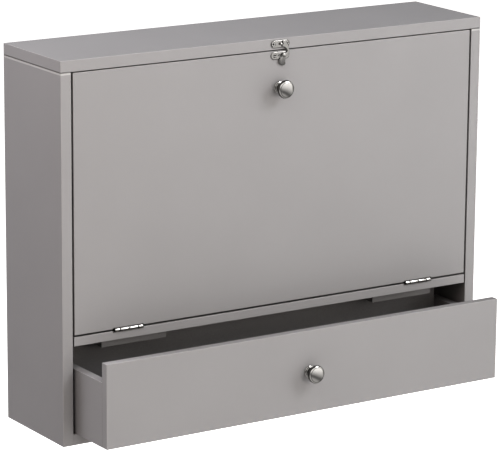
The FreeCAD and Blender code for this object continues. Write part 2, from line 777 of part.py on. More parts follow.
def stay_rivet(name, side, far, near, at, inward):
    """A rivet between two distances from the side panel, its head at the far end."""
    start = ((WALL_X - far) * side, *at)
    direction = INWARD[side] if inward else OUTWARD[side]
    reach = near - far if inward else far - near
    return headed_pin(name, start, direction, s.stay_rivet, reach, s.stay_rivet_head, s.stay_rivet_crown,
                      s.stay_rivet_head_height)


def stay_wall_plate(label, side, screws):
    """An upright plate with round ends on the side panel, holed for a rivet and countersunk for screws."""
    half = s.stay_screw_pitch / 2

    def draw(sketch):
        slot_outline(sketch, -half, half, s.stay_plate_height)
        circle(sketch, (0, 0), RIVET_BORE)

    plate = sheet_metal(f"{label}_body", "YZ_Plane", s.stay_plate_thickness, draw)
    plate.Placement.Rotation = Rotation(Vector(1, 0, 0), 90)
    place(plate, (stay_layer(side, ORIGIN, PLATE_IN), ANCHOR_Y, ANCHOR_Z))
    keep(label, cut(f"{label}_cut", plate, split(screws)[1]))


def stay_bracket(label, side, screws):
    """An angle bracket: a flange on the door and an ear that is round about the pivot."""
    low_x, high_x = across(side, WALL_X - EAR_IN, WALL_X - EAR_OUT)
    half = s.stay_link_width / 2
    low, high = PIVOT_HEIGHT - half, PIVOT_HEIGHT + half
    ear = block(f"{label}_ear", (low_x, DOOR_INNER, low), (high_x, PIVOT_Y, high))
    ear_end = (low_x, PIVOT_Y, PIVOT_HEIGHT)
    end = rod(f"{label}_ear_end", s.stay_link_width, ear_end, "x", s.stay_plate_thickness)
    tall = s.stay_flange_height / 2
    low_x, high_x = across(side, WALL_X - EAR_OUT - s.stay_flange, WALL_X - EAR_OUT)
    flange = block(f"{label}_flange", (low_x, DOOR_INNER, PIVOT_HEIGHT - tall),
                   (high_x, DOOR_INNER + s.stay_plate_thickness, PIVOT_HEIGHT + tall))
    bore = rod(f"{label}_bore", RIVET_BORE, (low_x, PIVOT_Y, PIVOT_HEIGHT), "x", s.stay_flange)
    keep(label, cut(f"{label}_cut", fused(f"{label}_blank", [ear, end, flange]), [bore, *split(screws)[1]]))


stay_screws = {}
wall_rivets, door_rivets = [], []
for word, side in SIDES:
    anchor, pivot = (ANCHOR_Y, ANCHOR_Z), (PIVOT_Y, PIVOT_HEIGHT)
    plate_face = (WALL_X - PLATE_IN) * side
    stay_screws[word, "wall"] = [
        wood_screw(f"{word}_stay_wall_screw_{n}",
                   (plate_face, ANCHOR_Y, ANCHOR_Z + s.stay_screw_pitch / 2 * end), OUTWARD[side])
        for n, end in enumerate((-1, 1))]
    flange_x = (WALL_X - EAR_IN - s.stay_flange / 2) * side
    stay_screws[word, "door"] = [
        wood_screw(f"{word}_stay_door_screw_{n}",
                   (flange_x, DOOR_INNER + s.stay_plate_thickness,
                    PIVOT_HEIGHT + s.stay_flange_screw_pitch / 2 * end), "-y")
        for n, end in enumerate((-1, 1))]
    stay_wall_plate(f"{word}_stay_wall_plate", side, stay_screws[word, "wall"])
    stay_bracket(f"{word}_stay_door_bracket", side, stay_screws[word, "door"])
    stay_link(f"{word}_stay_wall_link", side, WALL_LINK_OUT, WALL_LINK_IN, anchor, WALL_ANGLE, WALL_LINK)
    stay_link(f"{word}_stay_door_link", side, DOOR_LINK_OUT, DOOR_LINK_IN, pivot, DOOR_ANGLE, DOOR_LINK)
    past_wall_link, past_door_link = WALL_LINK_IN + s.stay_rivet_play, DOOR_LINK_OUT - s.stay_rivet_play
    wall_rivets.append(stay_rivet(f"{word}_stay_wall_rivet", side, ORIGIN, past_wall_link, anchor, True))
    door_rivets.append(stay_rivet(f"{word}_stay_door_rivet", side, EAR_IN, past_door_link, pivot, False))
    knuckle = knuckle_at()
    keep(f"{word}_stay_knuckle_rivet",
         stay_rivet(f"{word}_stay_knuckle_rivet", side, WALL_LINK_IN, WALL_LINK_OUT, knuckle, False))
    keep(f"{word}_stay_knuckle_cap",
         stay_rivet(f"{word}_stay_knuckle_cap", side, DOOR_LINK_OUT, DOOR_LINK_IN, knuckle, True))
keep("stay_wall_rivets", group("stay_wall_rivets", wall_rivets))
keep("stay_door_rivets", group("stay_door_rivets", door_rivets))
for end in ("wall", "door"):
    solids = [solid for word, _ in SIDES for solid in split(stay_screws[word, end])[0]]
    keep(f"stay_{end}_screws", group(f"stay_{end}_screws", solids))

# Knobs: turned, with a foot, a waisted neck, a rolled rim and a domed face, each held by a bolt from behind.


def knob_profile(sketch):
    """Half section of the knob and its blind bolt hole: radius across, distance from the board up."""
    bore = s.bolt_diameter / 2 + s.pivot_clearance
    foot, neck, back, face = s.knob_base / 2, s.knob_neck / 2, s.knob_back / 2, s.knob_face / 2
    lip, ease = s.knob_base_height, s.knob_base_ease
    dome = dome_radius(face, s.knob_projection - s.knob_face_height)
    depth = s.bolt_grip + s.bolt_clearance * 2
    outline(sketch, [
        (bore, 0),
        (foot - ease, 0),
        (foot, ease),
        (foot, lip - ease),
        (foot - ease, lip),
        (neck, lip),
        (neck, s.knob_neck_end, s.knob_flare, RIGHT_TURN),
        (back, s.knob_back_height, s.knob_rim_round, LEFT_TURN),
        (face, s.knob_face_height, dome, LEFT_TURN),
        (0, s.knob_projection),
        (0, depth),
        (bore, depth),
    ])


def knob(label, at, board_thickness):
    """A knob on a board's front face with its bolt, and the void for the bolt in the board."""
    body = doc.addObject("PartDesign::Body", f"{label}_body")
    sketch = body_sketch(body, f"{label}_profile", "XZ_Plane")
    knob_profile(sketch)
    turned = body.newObject("PartDesign::Revolution", f"{label}_turned")
    turned.Profile = sketch
    turned.ReferenceAxis = (sketch, ["V_Axis"])
    turned.Angle = 360
    body.Placement.Rotation = Rotation(Vector(1, 0, 0), 90)
    keep(label, place(body, at))
    inner = moved(at, "y", board_thickness)
    keep(f"{label}_bolt", fused(f"{label}_bolt_solid", [
        taper(f"{label}_bolt_head", s.bolt_head, s.bolt_head_top, inner, "y", s.bolt_head_height),
        rod(f"{label}_bolt_shank", s.bolt_diameter, inner, "-y", size(board_thickness) + s.bolt_grip),
    ]))
    return rod(f"{label}_void", s.bolt_diameter + s.bolt_clearance * 2, inner, "-y", board_thickness)


DOOR_KNOB_Z = DOOR_TOP - s.door_knob_drop
DRAWER_KNOB_Z = (DRAWER_UNDER + DRAWER_TOP) / 2
door_knob_void = knob("door_knob", (ORIGIN, FRONT, DOOR_KNOB_Z), s.door_board)
drawer_knob_void = knob("drawer_knob", (ORIGIN, DRAWER_FRONT, DRAWER_KNOB_Z), s.drawer_board)

# Cabinet boards.
wall_holes = {}
for word, z in (("upper", UPPER_RAIL_Z), ("lower", LOWER_RAIL_Z)):
    spots = [(s.wall_screw_spacing / 2 * end, ORIGIN, z) for end in (-1, 1)]
    wall_holes[word] = [rod(f"{word}_wall_hole_{n}", s.wall_screw_hole, at, "-y", s.back_board + s.rail_board)
                        for n, at in enumerate(spots)]
rabbet = block("back_rabbet", (-(WALL_X + s.back_lap), BACK_FACE, BAY_FLOOR - s.back_lap),
               (WALL_X + s.back_lap, ORIGIN, CEILING + s.back_lap))
HALF_WIDTH = s.cabinet_width / 2
FRONT_EDGES = {"y0", "z0", "z1"}
board("top_panel", (-HALF_WIDTH, FRONT, CEILING), (HALF_WIDTH, ORIGIN, TOP), ALL_FACES - {"y1"},
      [rabbet, stud_void, *joint_voids("top"), *back_voids["top"], *split(strike_screws)[1]])
for word, side in SIDES:
    low_x, high_x = across(side, WALL_X, HALF_WIDTH)
    voids = [void for (owner, _), pairs in joints.items() if owner == word for void in split(pairs)[1]]
    board(f"{word}_side_panel", (low_x, FRONT, BASE), (high_x, ORIGIN, CEILING), ALL_FACES - {"y1"},
          [rabbet, *voids, *back_voids[word], *split(stay_screws[word, "wall"])[1]])
board("bottom_panel", (-WALL_X, FRONT, BASE), (WALL_X, ORIGIN, BAY_FLOOR), FRONT_EDGES,
      [rabbet, *joint_voids("bottom"), *back_voids["bottom"]])
shelf_notches = []
for word, side in SIDES:
    low_x, high_x = across(side, WALL_X - s.shelf_notch, WALL_X)
    shelf_notches.append(block(f"{word}_shelf_notch", (low_x, FRONT, SHELF_UNDER),
                               (high_x, FRONT + s.shelf_notch_depth, SHELF_TOP)))
board("shelf_panel", (-WALL_X, FRONT, SHELF_UNDER), (WALL_X, BACK_FACE, SHELF_TOP), FRONT_EDGES,
      [*shelf_notches, *barrel_recesses, *joint_voids("shelf"), *back_voids["shelf"],
       *split(shelf_hinge_screws)[1]])
back_edge = s.back_lap - s.back_clearance
back_blank = block("back_blank", (-(WALL_X + back_edge), BACK_FACE, BAY_FLOOR - back_edge),
                   (WALL_X + back_edge, ORIGIN, CEILING + back_edge))
keep("back_panel", cut("back_panel_cut", back_blank, [
    *wall_holes["upper"], *wall_holes["lower"], *[void for row in back_voids.values() for void in row]]))
for word, z in (("upper", UPPER_RAIL_Z), ("lower", LOWER_RAIL_Z)):
    half = s.rail_height / 2
    board(f"{word}_wall_rail", (-WALL_X, BACK_FACE - s.rail_board, z - half), (WALL_X, BACK_FACE, z + half),
          FRONT_EDGES, [*wall_holes[word], *joint_voids(f"{word}_rail")])

# Stop blocks: under the shelf for the drawer, and under the top for the door.
for word, side in SIDES:
    half = s.stop_length / 2
    centre = (WALL_X - s.stop_inset - half) * side
    drawer_stop, door_stop = FRONT + s.drawer_board + s.drawer_stop_gap, DOOR_INNER + s.door_stop_gap
    for kind, start, under in (("drawer", drawer_stop, SHELF_UNDER), ("door", door_stop, CEILING)):
        board(f"{word}_{kind}_stop", (centre - half, start, under - s.stop_height),
              (centre + half, start + s.stop_depth, under), ALL_FACES - {"z1"})

# Door.
board("door_panel", (-DOOR_X, FRONT, DOOR_UNDER), (DOOR_X, DOOR_INNER, DOOR_TOP), ALL_FACES, [
    door_knob_void, pivot_void, *barrel_recesses, *split(door_hinge_screws)[1], *split(pivot_screws)[1],
    *[void for word, _ in SIDES for void in split(stay_screws[word, "door"])[1]]])

# Drawer: sides and back behind the front, the bottom in a groove all round.
DRAWER_INNER_X = DRAWER_X - s.drawer_board
DRAWER_BACK = DRAWER_FRONT + s.drawer_depth
DRAWER_INNER_FRONT = DRAWER_FRONT + s.drawer_board
DRAWER_INNER_BACK = DRAWER_BACK - s.drawer_board
DRAWER_SIDE_TOP = DRAWER_UNDER + s.drawer_side_height
BOTTOM_UNDER = DRAWER_UNDER + s.drawer_bottom_height
BOTTOM_TOP = BOTTOM_UNDER + s.drawer_bottom_board
groove_depth = s.drawer_groove + s.groove_clearance
groove_low, groove_high = BOTTOM_UNDER - s.groove_clearance, BOTTOM_TOP + s.groove_clearance
groove = block("drawer_groove",
               (-(DRAWER_INNER_X + groove_depth), DRAWER_INNER_FRONT - groove_depth, groove_low),
               (DRAWER_INNER_X + groove_depth, DRAWER_INNER_BACK + groove_depth, groove_high))
SIDE_MIDDLE = DRAWER_UNDER + s.drawer_side_height / 2
drawer_joints = {}
for word, side in SIDES:
    middle = (DRAWER_X - s.drawer_board / 2) * side
    heights = [SIDE_MIDDLE + s.drawer_dowel_pitch / 2 * end for end in (-1, 1)]
    drawer_joints[word, "front"] = [
        dowel(f"{word}_drawer_front_dowel_{n}", (middle, DRAWER_INNER_FRONT, z), "y", s.drawer_dowel_seat,
              s.drawer_dowel_length) for n, z in enumerate(heights)]
    drawer_joints[word, "back"] = [
        dowel(f"{word}_drawer_back_dowel_{n}", (DRAWER_INNER_X * side, DRAWER_BACK - s.drawer_board / 2, z),
              INWARD[side], s.drawer_dowel_seat, s.drawer_dowel_length) for n, z in enumerate(heights)]
dowel_solids = [solid for pairs in drawer_joints.values() for solid, _ in pairs]
keep("drawer_dowels", group("drawer_dowels", dowel_solids))


def drawer_voids(seam):
    """The dowel voids of one seam of the drawer, on both sides."""
    return [void for word, _ in SIDES for void in split(drawer_joints[word, seam])[1]]


board("drawer_front", (-DRAWER_X, DRAWER_FRONT, DRAWER_UNDER), (DRAWER_X, DRAWER_INNER_FRONT, DRAWER_TOP),
      ALL_FACES, [groove, drawer_knob_void, *drawer_voids("front")])
for word, side in SIDES:
    low_x, high_x = across(side, DRAWER_INNER_X, DRAWER_X)
    side_low, side_high = (low_x, DRAWER_INNER_FRONT, DRAWER_UNDER), (high_x, DRAWER_BACK, DRAWER_SIDE_TOP)
    side_joints = drawer_joints[word, "front"] + drawer_joints[word, "back"]
    board(f"drawer_{word}_side", side_low, side_high, {"x0", "x1", "z1"}, [groove, *split(side_joints)[1]])
board("drawer_back", (-DRAWER_INNER_X, DRAWER_INNER_BACK, DRAWER_UNDER),
      (DRAWER_INNER_X, DRAWER_BACK, DRAWER_TOP), {"y0", "y1", "z1"}, [groove, *drawer_voids("back")])
keep("drawer_bottom", block("drawer_bottom_sheet",
     (-(DRAWER_INNER_X + s.drawer_groove), DRAWER_INNER_FRONT - s.drawer_groove, BOTTOM_UNDER),
     (DRAWER_INNER_X + s.drawer_groove, DRAWER_INNER_BACK + s.drawer_groove, BOTTOM_TOP)))

doc.recompute()

failed = [item.Name for item in doc.Objects if {"Invalid", "Error"} & set(item.State)]
empty = [label for label, item in parts.items() if item.Shape.isNull() or not item.Shape.isValid()]
if failed or empty:
    raise RuntimeError(f"failed objects {failed}, unsound shapes {empty}")

os.makedirs("parts", exist_ok=True)
for label, item in parts.items():
    item.Shape.exportStep(f"parts/{label}.step")
turns = [after - before for before, after in zip((WALL_ANGLE, DOOR_ANGLE), open_angles())]
print(f"{len(parts)} sub-parts")
print(f"underside at Z {BASE.number:.2f}; hinge axis at Y {HINGE_Y.number:.2f}, Z {HINGE_Z.number:.2f}")
print(f"wall screw rows {(UPPER_RAIL_Z - LOWER_RAIL_Z).number:.2f} apart")
print(f"stay pivots: wall Y {ANCHOR_Y.number:.2f}, Z {ANCHOR_Z.number:.2f}; door Y {PIVOT_Y.number:.2f}, "
      f"Z {PIVOT_HEIGHT.number:.2f}; links {WALL_LINK.number:.2f} and {DOOR_LINK.number:.2f}")
print(f"stay turns while the door opens 90: wall link {turns[0]:.2f}, door link {turns[1]:.2f}")
print(f"latch pivot at X {LATCH_X.number:.2f}, Z {PIVOT_Z.number:.2f}")
print(f"hook rests {swing_off_angle():.2f} degrees off its stud")
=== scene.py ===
"""Fold-down wall desk: finishes, metalware and studio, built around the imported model.

Lengths in the settings are real ones. The functions that work out a surface use millimetres in the
model's own frame: X to the right, Y to the wall and Z up.
"""

import json
import math
from functools import partial

import bpy
import numpy as np
from mathutils import Matrix, Vector
from mathutils.geometry import tessellate_polygon


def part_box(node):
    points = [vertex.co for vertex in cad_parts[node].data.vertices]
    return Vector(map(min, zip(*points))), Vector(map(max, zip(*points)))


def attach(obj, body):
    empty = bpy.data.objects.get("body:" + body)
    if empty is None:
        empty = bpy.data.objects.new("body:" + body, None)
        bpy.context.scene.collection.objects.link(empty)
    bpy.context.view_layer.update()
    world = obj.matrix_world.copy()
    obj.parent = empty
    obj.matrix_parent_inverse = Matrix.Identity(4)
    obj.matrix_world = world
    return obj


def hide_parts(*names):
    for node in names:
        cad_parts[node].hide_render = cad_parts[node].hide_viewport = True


bl_info = {
    "name": "Fold-down wall desk",
    "version": (1, 0, 0),
    "blender": (4, 5, 0),
    "location": "View3D > Sidebar > Wall desk",
    "description": "Finishes, metalware and studio for a fold-down wall desk",
    "category": "Object",
}

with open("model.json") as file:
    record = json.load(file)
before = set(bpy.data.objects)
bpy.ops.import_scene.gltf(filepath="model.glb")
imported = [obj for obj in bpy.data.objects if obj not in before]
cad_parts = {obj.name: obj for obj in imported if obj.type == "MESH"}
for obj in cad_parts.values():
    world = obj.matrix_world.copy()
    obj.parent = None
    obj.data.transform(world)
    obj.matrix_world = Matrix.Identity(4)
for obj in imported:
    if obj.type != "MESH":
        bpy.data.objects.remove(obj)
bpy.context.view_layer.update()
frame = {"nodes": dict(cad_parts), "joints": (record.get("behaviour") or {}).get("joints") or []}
NODES = frame["nodes"]
JOINTS = {joint["name"]: joint for joint in frame["joints"]}
SIDES = ("left", "right")
MM = 0.001

# Painted boards, by the axis that a board is thin along.
BOARDS = {
    "X": ["left_side_panel", "right_side_panel", "drawer_left_side", "drawer_right_side"],
    "Y": ["door_panel", "drawer_front", "drawer_back", "upper_wall_rail", "lower_wall_rail"],
    "Z": ["top_panel", "bottom_panel", "shelf_panel", "left_drawer_stop", "right_drawer_stop",
          "left_door_stop", "right_door_stop"],
}
# Countersunk screws: the node, its body, the way its heads face, the finish and the heads' crown in mm.
# Heads that face IN look across the cabinet from the side that they are on.
SCREWS = (
    ("strike_plate_screws", "cabinet", "-Y", "nickel", 0.35),
    ("pivot_plate_screws", "door", "-Y", "nickel", 0.35),
    ("shelf_hinge_screws", "cabinet", "Z", "nickel", 0),
    ("door_hinge_screws", "door", "-Z", "nickel", 0),
    ("back_panel_screws", "cabinet", "Y", "zinc", 0),
    ("stay_door_screws", "door", "Y", "zinc", 0),
    ("stay_wall_screws", "cabinet", "IN", "zinc", 0),
)
# Radii of the screws, their holes and the pins, the length of a screw and the play round a pin, in mm.
SCREW_HEAD, SCREW_SHANK, SCREW_LENGTH, SCREW_HOLE = 2.8, 1.5, 9.9, 2.95
STUD_SHANK, PIVOT_SHANK, RIVET_SHANK, HINGE_PIN, PIN_PLAY = 1.1, 1.5, 2.0, 1.3, 0.05
RIVET_HOLE = RIVET_SHANK + PIN_PLAY
# Heights of the pins' heads and sizes of the sheet metal, in mm.
LATCH_HEAD_HEIGHT, RIVET_HEAD_HEIGHT = 0.9, 1.0
LEAF_THICKNESS, LEAF_GAP, STAY_SHEET, LINK_WIDTH = 1.3, 0.2, 1.5, 12.0


# Settings

class PaintSettings(bpy.types.PropertyGroup):
    """Colours of the boards."""

    paint: bpy.props.StringProperty(
        name="Paint", description="Satin grey of the painted boards, as an sRGB hex value",
        default="#898686")
    # Partly rubbed paint and partly a painted highlight: this pale colour is drawn on the arrises and on
    # the ridge under the top.
    rubbed_and_lit_arris: bpy.props.StringProperty(
        name="Rubbed edge", description="Paler grey where an eased edge is rubbed", default="#C9C6C3")
    hardboard: bpy.props.StringProperty(
        name="Hardboard", description="Brown of the bare hardboard's rear face", default="#8A6A4B")
    beech: bpy.props.StringProperty(
        name="Beech", description="Pale wood of the dowels", default="#C9A276")
    # Painted shade: this dark colour is drawn deep in gaps and hollows and in the joint under the top.
    hollow_shade: bpy.props.StringProperty(
        name="Dust", description="Dark dust and thin paint deep in gaps and hollows", default="#241F1B")
    hollow: bpy.props.FloatProperty(
        name="Hollow", description="How far a surface looks round it to find that it lies in a hollow",
        default=0.2, min=0.001, unit="LENGTH")
    gloss: bpy.props.FloatProperty(
        name="Paint roughness", description="Roughness of the satin paint on a broad face",
        default=0.42, min=0.05, max=1.0, subtype="FACTOR")
    peel: bpy.props.FloatProperty(
        name="Orange peel", description="Spacing of the paint's orange peel",
        default=0.004, min=0.0005, unit="LENGTH")


class MetalSettings(bpy.types.PropertyGroup):
    """Finish of the metalware and the rounding of its edges."""

    nickel: bpy.props.StringProperty(
        name="Nickel", description="Warm white of the polished nickel plate", default="#D8D4CF")
    # Painted shade and painted dark reflection, with some grease: this dark colour outlines the metalware
    # and fills its recesses.
    grime_and_shade: bpy.props.StringProperty(
        name="Grime", description="Dark grease in the recesses of the metalware", default="#1C1917")
    zinc: bpy.props.StringProperty(
        name="Zinc", description="Cool grey of the bright zinc plate", default="#B9BDC0")
    polish: bpy.props.FloatProperty(
        name="Nickel roughness", description="Roughness of the polished nickel",
        default=0.09, min=0.02, max=1.0, subtype="FACTOR")
    knob_steps: bpy.props.IntProperty(
        name="Knob steps", description="Steps round a turned knob", default=128, min=16)
    hook_edge: bpy.props.FloatProperty(
        name="Hook edge", description="Radius of the latch hook's rounded edges",
        default=0.0007, unit="LENGTH")
    latch_edge: bpy.props.FloatProperty(
        name="Latch edge", description="Radius of the latch plates' rounded edges",
        default=0.0008, unit="LENGTH")
    plate_edge: bpy.props.FloatProperty(
        name="Plate edge", description="Radius of the eased edges of leaves, links and brackets",
        default=0.0003, unit="LENGTH")


class StageSettings(bpy.types.PropertyGroup):
    """Camera, floor and lights."""

    azimuth: bpy.props.FloatProperty(
        name="Azimuth", description="The camera's turn from straight in front, to the right",
        default=math.radians(-32.80), unit="ROTATION", subtype="ANGLE")
    elevation: bpy.props.FloatProperty(
        name="Elevation", description="The camera's height above the horizon, as an angle",
        default=math.radians(13.77), unit="ROTATION", subtype="ANGLE")
    roll: bpy.props.FloatProperty(
        name="Roll", description="The camera's turn about its own line of sight",
        default=math.radians(0.444), unit="ROTATION", subtype="ANGLE")
    distance: bpy.props.FloatProperty(
        name="Distance", description="From the camera to the point that it looks at",
        default=3.98821, unit="LENGTH")
    target: bpy.props.FloatVectorProperty(
        name="Target", description="The point that the camera looks at",
        default=(-0.00591, -0.092, -0.07784), size=3, subtype="XYZ", unit="LENGTH")
    lens: bpy.props.FloatProperty(
        name="Lens", description="Focal length in millimetres on a 36 mm sensor", default=212.18,
        unit="CAMERA")
    floor: bpy.props.StringProperty(
        name="Floor", description="Pale colour of the floor", default="#F6F5F4")
    writing_height: bpy.props.FloatProperty(
        name="Writing height", description="Height of the opened door above the floor", default=0.74,
        unit="LENGTH")
    ambient: bpy.props.FloatProperty(
        name="Surroundings", description="Brightness of the studio that the metal mirrors", default=1.0)


# Soft square lights: name, place, the point that each looks at, its side in metres, watts, sRGB colour and
# whether the metal mirrors it.
DESK_MIDDLE = (0.0, -0.1, -0.07)
LIGHTS = (
    ("front_right_soft_box", (1.3, -1.6, 1.5), DESK_MIDDLE, 1.0, 38.5, "#F9FCFF", True),
    ("front_soft_box", (0.0, -1.8, 1.6), DESK_MIDDLE, 1.0, 9.0, "#F9FCFF", False),
    ("low_front_fill", (0.0, -2.4, 0.3), DESK_MIDDLE, 1.0, 20.5, "#FFFBF3", False),
    ("right_wall", (3.0, -2.0, 0.5), DESK_MIDDLE, 2.0, 61.0, "#FDFFFF", False),
    ("left_strip", (-1.2, -0.7, 0.5), (-0.3, -0.1, 0.1), 0.5, 3.5, "#FFE8DC", False),
    ("left_near_box", (-0.7, -0.5, 0.9), (-0.2, -0.1, 0.1), 0.6, 3.7, "#FFFFFF", False),
    ("back_left_soft_box", (-1.2, 0.9, 1.6), DESK_MIDDLE, 1.0, 58.0, "#F8FAFF", False),
)
# The studio's walls as the metal mirrors them: height as the sine of the elevation, and brightness.
SURROUNDINGS = (
    (-0.95, 0.45), (-0.7, 0.38), (-0.58, 0.15), (-0.47, 0.12), (-0.33, 0.32), (-0.22, 0.5), (0.1, 1.1),
    (0.35, 1.35), (0.6, 0.7), (0.8, 0.06), (1.0, 0.03))


# Materials: the numbers after the value of a MapRange node are its two ends and what these become.

# Sockets of a Mix node for colours: the share, the two colours and the result.
SHARE, FIRST, SECOND, MIXED = 0, 6, 7, 2


def linear(hex_colour):
    """A linear RGBA colour from an sRGB hex value."""
    channels = np.array([int(hex_colour[i:i + 2], 16) for i in (1, 3, 5)]) / 255
    low, high = channels / 12.92, ((channels + 0.055) / 1.055) ** 2.4
    return (*np.where(channels <= 0.04045, low, high), 1.0)


def per_metre(millimetres):
    """The texture scale that gives a pattern of that spacing."""
    return 1 / (millimetres * MM)


def add_node(tree, kind, inputs=(), **settings):
    """Add a shader node with its settings; inputs, in order or by name, are values, outputs or nodes.

    A node stands for its first output.
    """
    made = tree.nodes.new(f"ShaderNode{kind}")
    for name, value in settings.items():
        setattr(made, name, value)
    for name, value in inputs.items() if isinstance(inputs, dict) else enumerate(inputs):
        if isinstance(value, bpy.types.Node):
            value = value.outputs[0]
        if isinstance(value, bpy.types.NodeSocket):
            tree.links.new(value, made.inputs[name])
        else:
            made.inputs[name].default_value = value
    return made


def new_material(name):
    """An empty material, and the call that adds a node to it."""
    material = bpy.data.materials.get(name) or bpy.data.materials.new(name)
    material.use_nodes = True
    material.node_tree.nodes.clear()
    return material, partial(add_node, material.node_tree)


def surfaced(add, inputs):
    """End a material with the shader that has these inputs."""
    shader = add("BsdfPrincipled", inputs)
    add("OutputMaterial", {"Surface": shader})


def shaded_in_hollows(add, colours, tone):
    """The tone with painted shade mixed in where little of the surroundings is open, as deep in gaps.

    The share of painted shade is 0.8 (1 - openness)^2.
    """
    most, steepness = 0.8, 2.0
    openness = add("AmbientOcclusion", {"Distance": colours.hollow}, samples=8)
    closed = add("Math", [1.0, openness.outputs["AO"]], operation="SUBTRACT")
    steep = add("Math", [closed, steepness], operation="POWER")
    share = add("Math", [steep, most], operation="MULTIPLY")
    mixed = add("Mix", {SHARE: share, FIRST: tone, SECOND: linear(colours.hollow_shade)}, data_type="RGBA")
    return mixed.outputs[MIXED]


def jointed(add, colours, spot, tone):
    """The tone with the joint under the top drawn on it: the dark joint in painted shade, over a painted
    highlight.

    The real hairline is about 0.3 mm; it is drawn at about 1.8 mm so that it shows.
    """
    level, inner_face = span("top_panel")[0][2] * MM, span("right_side_panel")[0][0] * MM
    # Of each line, its middle and half its width in metres, its strength and its colour.
    # A painted highlight where the lower rounded edge catches the light, then the dark joint in painted
    # shade.
    lit_ridge = (level - 0.0022, 0.0012, 0.45, colours.rubbed_and_lit_arris)
    shaded_hairline = (level - 0.0002, 0.0009, 0.65, colours.hollow_shade)
    parts = add("SeparateXYZ", [spot]).outputs
    aside = add("Math", [parts["X"]], operation="ABSOLUTE")
    on_side = add("Math", [aside, inner_face], operation="GREATER_THAN")
    for middle, half, strength, colour in (lit_ridge, shaded_hairline):
        line = add("Math", [parts["Z"], middle, half], operation="COMPARE")
        outside = add("Math", [line, on_side], operation="MULTIPLY")
        drawn = add("Math", [outside, strength], operation="MULTIPLY")
        mixed = add("Mix", {SHARE: drawn, FIRST: tone, SECOND: linear(colour)}, data_type="RGBA")
        tone = mixed.outputs[MIXED]
    return tone


def satin_paint(colours, axis):
    """Satin lacquer sprayed on sanded fibreboard, for boards thin along one axis.

    The eye gets an even warm grey with a faint cloudiness, a shallow orange peel in the sheen,
    duller paint on the thirsty board edges, arrises a little paler as rubbed paint and painted
    highlight, the joint under the top in painted shade and highlight, and painted shade deep in gaps.
    """
    material, add = new_material(f"satin_grey_paint_{axis.lower()}")
    where = add("TexCoord").outputs
    spot = where["Object"]
    facing = add("VectorMath", [where["Normal"]], operation="ABSOLUTE")
    parts = add("SeparateXYZ", [facing]).outputs
    widest = add("Math", [parts["X"], parts["Y"]], operation="MAXIMUM")
    widest = add("Math", [widest, parts["Z"]], operation="MAXIMUM")
    cloud = add("TexNoise", {"Vector": spot, "Scale": per_metre(110), "Detail": 3})
    patches = add("TexNoise", {"Vector": spot, "Scale": per_metre(24), "Detail": 2})
    peel = add("TexNoise", {"Vector": spot, "Scale": per_metre(colours.peel / MM), "Detail": 1.5})
    # Arrises drawn paler: partly rubbed paint, partly a painted highlight.
    rubbed_and_lit = add("MapRange", [widest, 0.985, 0.80, 0.0, 0.5])
    patchy = add("MapRange", [patches, 0.3, 0.7, 0.6, 1.0])
    scuffed_and_lit = add("Math", [rubbed_and_lit, patchy], operation="MULTIPLY")
    depth = add("MapRange", [cloud, 0.25, 0.75, 0.98, 1.02])
    shaded = add("HueSaturation", {"Value": depth, "Color": linear(colours.paint)})
    worn_and_lit = add("Mix", {SHARE: scuffed_and_lit, FIRST: shaded, SECOND: linear(colours.rubbed_and_lit_arris)}, data_type="RGBA")
    # The joint under the top in painted shade and highlight, then painted shade deep in gaps and hollows.
    tone = shaded_in_hollows(add, colours, jointed(add, colours, spot, worn_and_lit.outputs[MIXED]))
    dull = add("MapRange", [parts[axis], 0.3, 0.7, 0.10, 0.0])
    sheen = add("MapRange", [cloud, 0.25, 0.75, colours.gloss - 0.03, colours.gloss + 0.03])
    rough = add("Math", [sheen, dull], operation="ADD")
    bump = add("Bump", {"Strength": 0.35, "Distance": 0.00004, "Height": peel})
    surfaced(add, {"Base Color": tone, "Roughness": rough, "Normal": bump})
    return material


def hardboard(colours, axis, bare_side):
    """Thin hardboard, painted on the face that shows inside and bare on the other.

    The bare face is brown, flecked with fibres, and has the small square mesh of the press screen.
    """
    material, add = new_material(f"hardboard_{axis.lower()}")
    where = add("TexCoord").outputs
    spot = where["Object"]
    facing = add("SeparateXYZ", [where["Normal"]]).outputs[axis]
    bare = add("MapRange", [facing, 0.2 * bare_side, 0.6 * bare_side, 0.0, 1.0])
    flecks = add("TexNoise", {"Vector": spot, "Scale": per_metre(2.5), "Detail": 4})
    cloud = add("TexNoise", {"Vector": spot, "Scale": per_metre(110), "Detail": 3})
    fibre_depth = add("MapRange", [flecks, 0.3, 0.7, 0.82, 1.16])
    paint_depth = add("MapRange", [cloud, 0.25, 0.75, 0.97, 1.03])
    fibre = add("HueSaturation", {"Value": fibre_depth, "Color": linear(colours.hardboard)})
    painted = add("HueSaturation", {"Value": paint_depth, "Color": linear(colours.paint)})
    # Painted shade deep in gaps and hollows on the painted face.
    inside = shaded_in_hollows(add, colours, painted)
    tone = add("Mix", {SHARE: bare, FIRST: inside, SECOND: fibre}, data_type="RGBA")
    rough = add("MapRange", [bare, 0.0, 1.0, colours.gloss, 0.8])
    # The screen's real mesh is about 1 mm; it is drawn at 3 mm so that it shows.
    mesh = add("TexVoronoi", {"Vector": spot, "Scale": per_metre(3), "Randomness": 0.0},
               distance="CHEBYCHEV")
    pressed = add("Math", [mesh, bare], operation="MULTIPLY")
    bump = add("Bump", {"Strength": 0.6, "Distance": 0.0002, "Height": pressed})
    surfaced(add, {"Base Color": tone.outputs[MIXED], "Roughness": rough, "Normal": bump})
    return material


